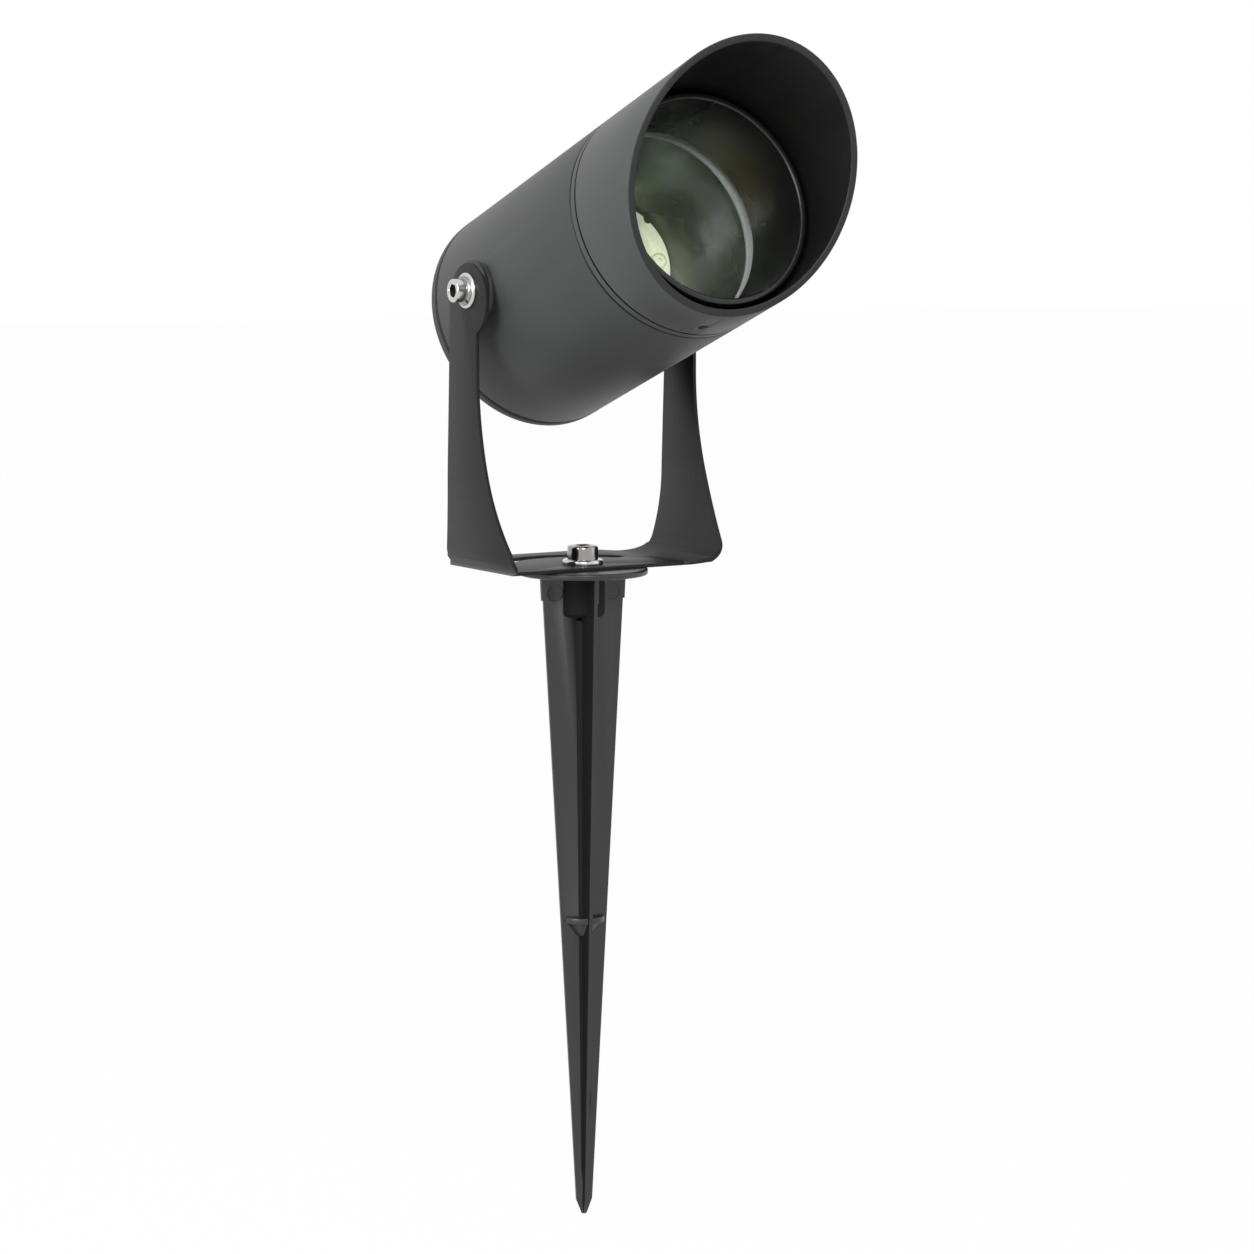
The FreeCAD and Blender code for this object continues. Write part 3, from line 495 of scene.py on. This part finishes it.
def dimple_shade_outline(nylon):
    """1 on the two dimples' outlines, which take a painted shade, 0 a quarter of a millimetre away.
    """
    out = abs(nylon.vector("DOT_PRODUCT", nylon.place(), VANE_LINE, output=1)) - DIMPLE_OUT * MM
    up = nylon.vector("DOT_PRODUCT", nylon.place(), UP, output=1) - DIMPLE_Z * MM
    off_edge = abs((out * out + up * up) ** 0.5 - DIMPLE_RADIUS * MM)
    return nylon.clamp(off_edge, 0.25 * MM, 0.5 * MM, 1.0, 0.0)


def moulded_nylon(name, level, gloss, shine=0.5, shaded_dimples=False):
    nylon = Finish(name)
    flow = nylon.noise(60.0, 4.0, 0.6, nylon.place(scale=(1.0, 1.0, 0.12)))
    skin = nylon.noise(1500.0, 2.0, 0.5)
    cloud = nylon.noise(30.0, 3.0, 0.5)
    shade = nylon.ramp(flow, [(0.3, tone(level - 5, COOL)), (0.7, tone(level + 5, COOL))])
    # Painted shade: a near-black line round each ejector dimple's rim.
    if shaded_dimples:
        shade = nylon.mix(dimple_shade_outline(nylon), shade, tone(4))
    surface = nylon.bump(skin, 0.12, 0.00012)
    surface = nylon.bump(flow, 0.10, 0.00060, surface)
    nylon.feed(Base_Color=shade, Roughness=gloss + 0.14 * cloud, Normal=surface, IOR=1.6,
               Specular_IOR_Level=shine)
    return nylon.material


spike_nylon = moulded_nylon("black_spike_nylon", 30, 0.28, shaded_dimples=True)
# Painted shade: a darker, duller copy of the spike's nylon for the hub, the core and the corners.
shade_painted_nylon = moulded_nylon("shade_painted_spike_nylon", 14, 0.60, 0.12)
gland_nylon = moulded_nylon("black_gland_nylon", 26, 0.36)
print("nylons", spike_nylon.name, shade_painted_nylon.name, gland_nylon.name)

# %% [markdown]
# ## Rubber and silicone
# The rear seal and the gland's bush are black rubber. The seal behind the glass is taken to be pale
# silicone, because a pale line shows there in the photograph. Both are soft mouldings with an even,
# dull skin, so one noise is enough for colour, roughness and bump.

# %% Rubber finish
def moulded_rubber(name, low, high):
    rubber = Finish(name)
    skin = rubber.noise(1800.0, 2.0, 0.6)
    shade = rubber.ramp(skin, [(0.3, tone(low)), (0.7, tone(high))])
    rubber.feed(Base_Color=shade, Roughness=0.68 + 0.1 * skin, Normal=rubber.bump(skin, 0.2, 0.0001))
    return rubber.material


black_rubber = moulded_rubber("black_rubber", 10, 16)
pale_silicone = moulded_rubber("pale_silicone", 168, 188)
print("rubbers", black_rubber.name, pale_silicone.name)

# %% [markdown]
# ## Bright metals
# The screws and washers are bright steel: mirror-like, with fine turning lines that pull the
# reflections into streaks. The spring washers are duller and darker, and the insides of the sockets
# are darker still: painted shade in the recess. Brass and bare aluminium are the same idea with
# other colours. One function with a colour and a roughness serves them all, so they look like one
# family in the same light.

# %% Metal finishes
def bright_metal(name, colour, rough, lines=0.12):
    metal = Finish(name)
    turning = metal.noise(900.0, 3.0, 0.6, metal.place(scale=(1.0, 0.15, 1.0)))
    stain = metal.noise(120.0, 4.0, 0.6)
    dull = tuple(part * 0.86 for part in colour)
    shade = metal.ramp(stain, [(0.3, dull), (0.7, colour)])
    metal.feed(Base_Color=shade, Metallic=1.0, Roughness=rough + 0.10 * turning + 0.06 * stain,
               Normal=metal.bump(turning, lines, 0.00003))
    return metal.material


stainless = bright_metal("bright_stainless", (0.66, 0.65, 0.64), 0.10)
# Painted shade: the insides of the sockets get a dark steel.
socket_shade_steel = bright_metal("shade_painted_socket_steel", (0.15, 0.14, 0.13), 0.30)
plated_steel = bright_metal("plated_steel", (0.36, 0.35, 0.34), 0.07)
spring_steel = bright_metal("spring_steel", (0.34, 0.34, 0.33), 0.20)
brass = bright_metal("turned_brass", (0.75, 0.56, 0.26), 0.22)
bare_aluminium = bright_metal("bare_aluminium", (0.80, 0.81, 0.82), 0.34, 0.2)
print("metals", stainless.name, brass.name, bare_aluminium.name)

# %% [markdown]
# ## The glass
# The front glass is thick and slightly green, and its edge is ground matt. Real glass lets the light
# through to the reflector, but a ray tracer finds that path only by luck, so shadow rays pass the
# glass as if it were clear film. The camera still sees real, bending glass.

# %% Glass finish
GLASS_BACK, GLASS_FRONT, GLASS_RADIUS = 65.0, 75.0, 44.4     # along the beam, and its radius


def clear_glass(name):
    glass = Finish(name)
    film = glass.noise(14.0, 3.0, 0.5)
    glass.feed(Base_Color=glass.ramp(film, [(0.2, (0.92, 0.97, 0.92)), (0.8, (0.95, 0.98, 0.95))]),
               Roughness=0.004 + 0.01 * film, IOR=1.5, Transmission_Weight=1.0)
    ground = glass.node("ShaderNodeBsdfDiffuse", {}, {"Color": (0.50, 0.56, 0.49)})
    clear = glass.node("ShaderNodeBsdfTransparent", {}, {"Color": (0.90, 0.94, 0.90)})
    rim = glass.clamp(beam_radius(glass), (GLASS_RADIUS - 0.5) * MM, (GLASS_RADIUS - 0.3) * MM)
    glass.blend(glass.ray("Is Shadow Ray"), glass.blend(rim, glass.own_surface, ground), clear)
    return glass.material


lamp_glass = clear_glass("thick_clear_glass")
print("glass", lamp_glass.name, GLASS_FRONT - GLASS_BACK, "mm thick")

# %% [markdown]
# ## Behind the glass
# A dark, glossy cone carries the light out from a round LED. A cream holder clamps the board, and the
# emitter is a yellow disc of phosphor. The lamp is off, so nothing glows. The cone is thin metal on
# plastic, never quite even, so a broad noise bends its reflections. The bead round its mouth
# reflects, and it is also painted near white, a painted highlight that makes the one bright line in
# the glass.

# %% Cone, holder and light disc
CONE_MOUTH, CONE_RADIUS = 64.0, 40.9    # along the beam, and the radius there


def dark_mirror(name):
    """Smoky metallised plastic; the bead round its mouth is painted near white, a painted highlight.
    """
    cone = Finish(name)
    wave = cone.noise(34.0, 2.0, 0.5)
    haze = cone.noise(42.0, 2.0, 0.5)
    shade = cone.ramp(haze, [(0.35, (0.13, 0.15, 0.14)), (0.50, (0.19, 0.21, 0.17)),
                             (0.62, (0.27, 0.29, 0.27))])
    # Painted highlight: the bead round the mouth is near white and glossier than the cone.
    bead_highlight = cone.clamp(beam_radius(cone), (CONE_RADIUS - 0.55) * MM, (CONE_RADIUS - 0.4) * MM)
    shade = cone.mix(bead_highlight, shade, (0.92, 0.93, 0.92))
    cone.feed(Base_Color=shade, Metallic=0.85, Roughness=0.22 + 0.12 * haze - 0.1 * bead_highlight,
              Normal=cone.bump(wave, 0.25, 0.002))
    return cone.material


def matt_moulding(name, colour, rough=0.5, scale=500.0):
    matt = Finish(name)
    skin = matt.noise(scale, 3.0, 0.5)
    dull = tuple(part * 0.90 for part in colour)
    matt.feed(Base_Color=matt.ramp(skin, [(0.3, dull), (0.7, colour)]),
              Roughness=rough + 0.1 * skin, Normal=matt.bump(skin, 0.10, 0.0001))
    return matt.material


cone_mirror = dark_mirror("dark_cone_mirror")
cream_holder = matt_moulding("cream_holder", (0.92, 0.91, 0.70))
yellow_phosphor = matt_moulding("yellow_phosphor", (0.70, 0.56, 0.10), 0.42, 900.0)
driver_case = matt_moulding("driver_case", (0.62, 0.62, 0.58), 0.55)
print("optics", cone_mirror.name, cream_holder.name, yellow_phosphor.name, driver_case.name)

# %% [markdown]
# ## A finish for every part
# Every part of the engineering model gets the finish of its real material, including those inside
# the closed head, so that the model is right when it is taken apart.

# %% Give the parts their finishes
FINISH_OF = {
    "barrel": head_coat, "rear_cap": head_coat, "hood": hood_coat, "glass_ring": ring_coat,
    "rear_cap_seal": black_rubber, "gland_washer": black_rubber, "gland_bush": black_rubber,
    "glass_seal": pale_silicone, "rear_cap_screws": stainless, "tilt_screws": stainless,
    "tilt_washers": stainless, "tilt_spring_washers": spring_steel, "swivel_bolt": plated_steel,
    "swivel_washer": stainless, "cob_holder_screws": cream_holder, "hood_grub_screw": stainless,
    "gland_body": gland_nylon, "gland_nut": gland_nylon, "gland_lock_nut": gland_nylon,
    "friction_washers": gland_nylon, "spike": spike_nylon, "driver": driver_case,
    "heat_sink": bare_aluminium, "cob_board": bare_aluminium, "cob_emitter": yellow_phosphor,
    "cob_holder": cream_holder, "reflector": cone_mirror, "front_glass": lamp_glass,
    "yoke": yoke_coat, "spike_insert": brass,
}


def paint(thing, material):
    if thing.material_slots:
        for slot in thing.material_slots:
            slot.material = material
    else:
        thing.data.materials.append(material)


for node, material in FINISH_OF.items():
    paint(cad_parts[node], material)
print("painted", len(FINISH_OF), "nodes; without a finish:",
      sorted(set(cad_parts) - set(FINISH_OF)))

# %% [markdown]
# ## Castings
# The barrel, the rear cap and the hood keep their engineering shape. A bevel of a quarter of a
# millimetre is what a layer of powder does to an edge.

# %% Softened castings
softened("barrel_shell", "barrel", head_coat, "lamp_head", 0.25)
softened("cap_casting", "rear_cap", head_coat, "lamp_head", 0.25)
softened("hood_shell", "hood", hood_coat, "hood_body", 0.25)

# %% [markdown]
# ## The folded yoke
# The yoke is one strap of sheet, bent twice. In the photograph the plate's rear corners are drawn in
# a little, so the points there slide inwards round the bend. Moving points of the copy keeps the
# sheet's even thickness, because inner and outer faces move together.

# %% Softened yoke
BEND_AT = Vector((40.44, 13.7))         # centre of the bend: x and height
BEND_OUTER = 11.0
CORNER_X, CORNER_Y = 48.6, 26.4         # where the trimmed corner starts
CORNER_SLOPE = 0.54


def bend_height(x):
    reach = min(max(x - BEND_AT.x, 0.0), BEND_OUTER)
    return BEND_AT.y - math.sqrt(BEND_OUTER ** 2 - reach ** 2)


def trimmed_corner(place):
    """Draws the plate's rear corners in by up to 2 mm, along the bend."""
    limit = CORNER_X - CORNER_SLOPE * (place.y - CORNER_Y)
    across = abs(place.x)
    if place.y < CORNER_Y + 0.1 or across < limit:
        return place
    drop = bend_height(limit) - bend_height(across)
    return Vector((math.copysign(limit, place.x), place.y, place.z + drop))


softened("yoke_strap", "yoke", yoke_coat, "yoke_body", 0.35, 0.16, reshape=trimmed_corner)

# %% [markdown]
# ## The moulded spike
# The spike's wide vanes shine along their length. The hub, the core and the faces that look into the
# corners between the vanes get a second nylon, nearly black and matt: painted shade for the shadow
# those corners hold. Two materials on one mesh show this better than a mask, because the border
# between them is an edge of the part.

# %% Softened spike
HUB_LONG, HUB_RADIUS = 18.5, 9.3
CORE_RADIUS, CORE_TAPER, CORE_LONG = 4.5, 0.009, 262.0
VANE_THICK = 3.5
DIMPLE_RIM = (2.8, 4.1)                 # a rim's small faces lie between these radii


def on_dimple_rim(face, middle):
    for side in (1.0, -1.0):
        centre = VANE_LINE * (side * DIMPLE_OUT) + UP * DIMPLE_Z
        if DIMPLE_RIM[0] < (middle - centre).length < DIMPLE_RIM[1] and face.calc_area() < 1.5:
            return True
    return False


def in_painted_shade(face):
    """Faces that take the painted shade: the hub, the core, the dimples' rims and the sides
    of the front and back vanes.
    """
    middle = face.calc_center_median()
    if middle.z > -0.2:
        return False
    hub = middle.z > -HUB_LONG and middle.xy.length < HUB_RADIUS
    core = middle.z > -CORE_LONG and middle.xy.length < CORE_RADIUS + CORE_TAPER * middle.z
    side = abs(face.normal.dot(VANE_LINE)) > 0.9 and abs(middle.dot(VANE_LINE)) < VANE_THICK
    return hub or core or on_dimple_rim(face, middle) or (side and middle.z < -0.5)


# The hub, the core and the faces in the corners take the painted-shade nylon.
softened("spike_moulding", "spike", (spike_nylon, shade_painted_nylon), "ground_spike", 0.25, 0.06,
         in_painted_shade)

# %% [markdown]
# ## The LED holder
# The cream holder clamps the LED's board to the heat sink. One sees it only through the glass, so its
# engineering shape with a finer bevel is enough.

# %% Softened holder
softened("led_holder", "cob_holder", cream_holder, "lamp_head", 0.2)

# %% [markdown]
# ## Washers
# A washer is stamped, so its edges are rolled over a little. Both ears carry the same washers, so one
# outline is spun twice, and the two rings are one piece, as they are one part of the model.

# %% Washers
ARM_OUTER = 53.2                        # outer face of each arm, from the middle
TILT_HOLE, BOLT_HOLE = 3.25, 4.25
PLATE_TOP, BOLT_SEAT = 4.2, 5.8         # under and on top of the bolt's washer
UPRIGHT = Matrix.Rotation(-math.pi / 2.0, 4, "X")


def on_pivot(side):
    """Place of a piece turned about the tilt axis, on one side of the head."""
    return AT_PIVOT @ Matrix.Rotation(side * math.pi / 2.0, 4, "Z")


def washer(thick_from, thick_to, hole, outer, size):
    return [(thick_from, hole, size), (thick_to, hole, size),
            (thick_to, outer, size), (thick_from, outer, size)]


def joined(meshes):
    """Several meshes as one."""
    whole = bmesh.new()
    for mesh in meshes:
        data = bpy.data.meshes.new("part")
        mesh.to_mesh(data)
        whole.from_mesh(data)
        bpy.data.meshes.remove(data)
        mesh.free()
    return whole


def pair(corners):
    return joined([spun(corners, on_pivot(side), 96) for side in (1, -1)])


piece("washer_pair", pair(washer(ARM_OUTER, ARM_OUTER + 1.0, TILT_HOLE, 6.65, 0.28)), stainless,
      "lamp_head", "tilt_washers")
piece("friction_pair", pair(washer(50.5, 51.7, TILT_HOLE, 12.0, 0.3)), gland_nylon,
      "lamp_head", "friction_washers")
piece("bolt_washer", spun(washer(PLATE_TOP, BOLT_SEAT, BOLT_HOLE, 8.0, 0.4), UPRIGHT, 120), stainless,
      "ground_spike", "swivel_washer")

# %% [markdown]
# ## Seals, ring and glass
# The rear seal is the black line between the barrel and its cap. In front, a pale seal lies on the
# reflector's mouth, the thick glass lies on the seal, and a black ring holds the glass down. All of
# them are turned about the beam, and each outline starts where the one behind it ends.

# %% Seals, ring and glass
RING_FOOT, RING_WALL = 44.95, 42.9      # outer radii of the ring's foot and its wall
RING_STEP, RING_FRONT = 82.2, 109.5
piece("joint_seal", spun(washer(-33.6, -32.6, 43.5, 47.3, 0.25), ON_HEAD), black_rubber,
      "lamp_head", "rear_cap_seal")
piece("lens_seal", spun(washer(CONE_MOUTH, GLASS_BACK, 41.2, GLASS_RADIUS, 0.2), ON_HEAD),
      pale_silicone, "lamp_head", "glass_seal")
piece("carrier_ring", spun([(GLASS_FRONT, CONE_RADIUS, 0.2), (GLASS_FRONT, RING_FOOT, 0.3),
                            (RING_STEP, RING_FOOT, 0.3), (RING_STEP, RING_WALL, 0.2),
                            (RING_FRONT, RING_WALL, 0.6), (RING_FRONT, CONE_RADIUS, 0.6)], ON_HEAD),
      ring_coat, "lamp_head", "glass_ring")
piece("lens_disc", spun([(GLASS_BACK, 0.0, 0.0), (GLASS_BACK, GLASS_RADIUS, 0.6),
                         (GLASS_FRONT - 1.2, GLASS_RADIUS, 0.4),
                         (GLASS_FRONT, GLASS_RADIUS - 1.2, 0.4), (GLASS_FRONT, 0.0, 0.0)], ON_HEAD),
      lamp_glass, "lamp_head", "front_glass")

# %% [markdown]
# ## Reflector and light disc
# The reflector is a thin cone with a rim at each end: the back one sits on the LED holder and the
# front one carries the seal. The light disc is a flat button with a turned-down edge.

# %% Reflector and light disc
CONE_BACK, CONE_FLOOR = 30.0, 31.2
piece("reflector_cone", spun([(CONE_BACK, 24.2, 0.1), (CONE_FLOOR, 24.2, 0.2),
                              (CONE_MOUTH, CONE_RADIUS, 0.45), (CONE_MOUTH, 44.7, 0.3),
                              (CONE_MOUTH - 1.5, 44.7, 0.3), (CONE_MOUTH - 1.5, 42.1, 0.3),
                              (CONE_FLOOR, 25.6, 0.3), (CONE_FLOOR, 28.2, 0.2),
                              (CONE_BACK, 28.2, 0.2)], ON_HEAD),
      cone_mirror, "lamp_head", "reflector")
piece("light_disc", spun([(31.5, 0.0, 0.0), (31.5, 13.0, 0.1), (31.9, 13.0, 0.15),
                          (32.2, 12.3, 0.3), (32.2, 0.0, 0.0)], ON_HEAD, 96),
      yellow_phosphor, "lamp_head", "cob_emitter")

# %% [markdown]
# ## Spring washers
# A spring washer is a ring of nearly square wire, cut once. The outline is spun for a little less
# than a full turn, and the two open ends are closed.

# %% Split rings
SPLIT_GAP = 0.9 / 4.3                   # the cut's width over the wire's radius: an angle
SPLIT_START = math.radians(-165.0)


def split_ring(corners, place, gap, start):
    mesh = bmesh.new()
    dots = [mesh.verts.new((0.0, -s, r)) for s, r in rounded(corners)]
    lines = [mesh.edges.new((dots[k - 1], dots[k])) for k in range(len(dots))]
    bmesh.ops.spin(mesh, geom=dots + lines, cent=(0, 0, 0), axis=(0, 1, 0), dvec=(0, 0, 0),
                   angle=math.tau - gap, steps=96, use_merge=False, use_duplicate=False)
    bmesh.ops.holes_fill(mesh, edges=[e for e in mesh.edges if e.is_boundary], sides=0)
    turn = Matrix.Rotation(start, 4, "Y")
    bmesh.ops.transform(mesh, matrix=place @ turn, verts=mesh.verts)
    return mesh


wire = washer(ARM_OUTER + 1.0, ARM_OUTER + 2.0, TILT_HOLE, 5.3, 0.2)
piece("spring_pair", joined([split_ring(wire, on_pivot(side), SPLIT_GAP, SPLIT_START * side)
                             for side in (1, -1)]),
      spring_steel, "lamp_head", "tilt_spring_washers")

# %% [markdown]
# ## Socket screws
# A screw is a stack of rings, joined one to the next. The outer rings are round and the inner ones
# follow a hexagon, so the key's socket, its small lead-in and the cone left by the drill come from
# the same few lines. Cutting the socket with a boolean would also work, but it leaves long thin
# faces that catch the light badly.

# %% One screw
TIP_EDGE, NECK_EDGE = 0.4, 0.25         # bevels at the thread's tip and under the head
LEAD_IN, DRILL_POINT = 0.3, 0.4


def hexagon(across):
    """Radius of a hexagon at an angle."""
    return lambda angle: across / 2.0 / math.cos(angle % (math.pi / 3.0) - math.pi / 6.0)


def ring(mesh, height, radius, steps=72):
    made = bmesh.ops.create_circle(mesh, segments=steps, radius=1.0)["verts"]
    for dot in made:
        angle = math.atan2(dot.co.y, dot.co.x)
        reach = radius(angle) if callable(radius) else radius
        dot.co = Vector((reach * math.cos(angle), reach * math.sin(angle), height))
    return list({edge for dot in made for edge in dot.link_edges})


def socket_screw(head, high, key, key_deep, shank, length, edge, place):
    """A socket screw on +Z, its head above zero, moved to its place."""
    mesh = bmesh.new()
    stack = [(-length, shank - TIP_EDGE), (TIP_EDGE - length, shank), (0.0, shank),
             (0.0, head - NECK_EDGE), (NECK_EDGE, head)]
    for step in range(6):
        angle = math.radians(18.0 * step)
        stack.append((high + edge * (math.sin(angle) - 1.0), head + edge * (math.cos(angle) - 1.0)))
    stack += [(high, key / math.sqrt(3.0) + LEAD_IN), (high - LEAD_IN, hexagon(key + 0.04)),
              (high - key_deep, hexagon(key)), (high - key_deep - DRILL_POINT, 0.3 * key)]
    rings = [ring(mesh, height, radius) for height, radius in stack]
    socket_from = len(rings) - 3
    # Faces from the socket inwards take the second material: the dark steel of the painted shade.
    for index, (below, above) in enumerate(zip(rings, rings[1:])):
        for face in bmesh.ops.bridge_loops(mesh, edges=below + above)["faces"]:
            face.material_index = int(index >= socket_from)
    bmesh.ops.contextual_create(mesh, geom=rings[0])
    for face in bmesh.ops.contextual_create(mesh, geom=rings[-1])["faces"]:
        face.material_index = 1
    bmesh.ops.transform(mesh, matrix=place, verts=mesh.verts)
    return mesh


# %% [markdown]
# ## The lamp's screws
# The same function makes the two tilt screws, the four screws of the rear cap and the large bolt that
# holds the yoke on the spike. Only their sizes and places differ, and a set is joined into one piece.

# %% All the screws
CAP_CIRCLE, CAP_FACE = 37.7, 37.0       # the cap screws' circle, and the face under their heads


def tilt_screw(side):
    place = (AT_PIVOT @ Matrix.Translation((side * (ARM_OUTER + 2.0), 0.0, 0.0))
             @ Matrix.Rotation(side * math.pi / 2.0, 4, "Y"))
    return socket_screw(4.75, 5.2, 5.0, 3.0, 3.0, 14.7, 0.55, place)


def cap_screw(quarter):
    place = (ON_HEAD @ Matrix.Rotation(math.radians(45.0 + 90.0 * quarter), 4, "Y")
             @ Matrix.Translation((0.0, CAP_FACE, CAP_CIRCLE))
             @ Matrix.Rotation(-math.pi / 2.0, 4, "X"))
    return socket_screw(3.6, 2.4, 2.5, 1.4, 2.0, 14.0, 0.4, place)


piece("tilt_screw_pair", joined([tilt_screw(side) for side in (1, -1)]), (stainless, socket_shade_steel),
      "lamp_head", "tilt_screws")
piece("cap_screw_set", joined([cap_screw(quarter) for quarter in range(4)]),
      (stainless, socket_shade_steel), "lamp_head", "rear_cap_screws")
piece("swivel_screw", socket_screw(6.5, 6.4, 5.0, 3.5, 4.0, 22.0, 1.2,
                                   Matrix.Translation((0.0, 0.0, BOLT_SEAT))),
      (plated_steel, socket_shade_steel), "ground_spike", "swivel_bolt")

# %% [markdown]
# ## The studio floor
# The photograph is a catalogue shot: white all round. A floor lit until it is white would throw its
# light back up at the lamp and lift every dark face. So the floor is a mid grey to the light, and
# glows white only where it is looked at. A small share of the grey is kept, which holds the shadow.

# %% Floor
FLOOR_Z = -0.2764                       # just under the tip of the spike
FLOOR_GLOW, GLOW_SHARE = 1.04, 0.94


def pale_floor():
    mesh = bmesh.new()
    bmesh.ops.create_grid(mesh, x_segments=1, y_segments=1, size=12.0,
                          matrix=Matrix.Translation((0.0, 0.0, FLOOR_Z)))
    data = bpy.data.meshes.new("studio_floor")
    mesh.to_mesh(data)
    mesh.free()
    floor = bpy.data.objects.new("studio_floor", data)
    bpy.context.scene.collection.objects.link(floor)
    white = Finish("studio_white")
    speck = white.noise(3.0, 2.0, 0.5)
    white.feed(Base_Color=white.ramp(speck, [(0.3, (0.40, 0.40, 0.40)), (0.7, (0.42, 0.42, 0.42))]),
               Roughness=0.9)
    glow = white.node("ShaderNodeEmission", {}, {"Strength": FLOOR_GLOW})
    white.blend(white.clamp(white.seen(), 0.0, 1.0, 0.0, GLOW_SHARE), white.own_surface, glow)
    data.materials.append(white.material)


pale_floor()
print("floor at", FLOOR_Z, "m")

# %% [markdown]
# ## World and lights
# The world does the same: white to the camera, in reflections and through the glass, and only a
# quiet grey to matt surfaces, so the lamps keep their direction. The strongest soft box stands far
# to the left, low enough to leave the top of the barrel calm. A second one in front opens the hood
# and the yoke. A weak one above and a weak one at the right only keep the shadows from going black.

# %% World and lights
LAMP_MIDDLE = Vector((0.0, -0.05, 0.1))


def white_world(ambient):
    world = bpy.data.worlds.new("studio_world")
    bpy.context.scene.world = world
    world.use_nodes = True
    sky = Graph(world.node_tree)
    back = world.node_tree.nodes["Background"]
    sky.fill(back.inputs["Color"], (1.0, 1.0, 1.0))
    sky.fill(back.inputs["Strength"], sky.clamp(sky.seen(), 0.0, 1.0, ambient, 1.0))


def soft_box(name, at, size, power):
    light = bpy.data.lights.new(name, "AREA")
    light.shape = "RECTANGLE"
    light.size, light.size_y = size
    light.energy = power
    stand = bpy.data.objects.new(name, light)
    bpy.context.scene.collection.objects.link(stand)
    stand.location = at
    stand.rotation_euler = (LAMP_MIDDLE - Vector(at)).to_track_quat("-Z", "Y").to_euler()


white_world(0.14)
soft_box("key_light", (-2.2, -0.45, 0.65), (1.2, 1.2), 38.0)
soft_box("front_light", (-0.9, -2.1, 1.2), (0.7, 0.7), 24.0)
soft_box("top_light", (-0.3, -0.9, 2.0), (1.0, 1.0), 3.0)
soft_box("fill_light", (1.7, -1.2, 0.7), (1.2, 1.6), 3.0)
scene = bpy.context.scene
scene.view_settings.view_transform = "Standard"
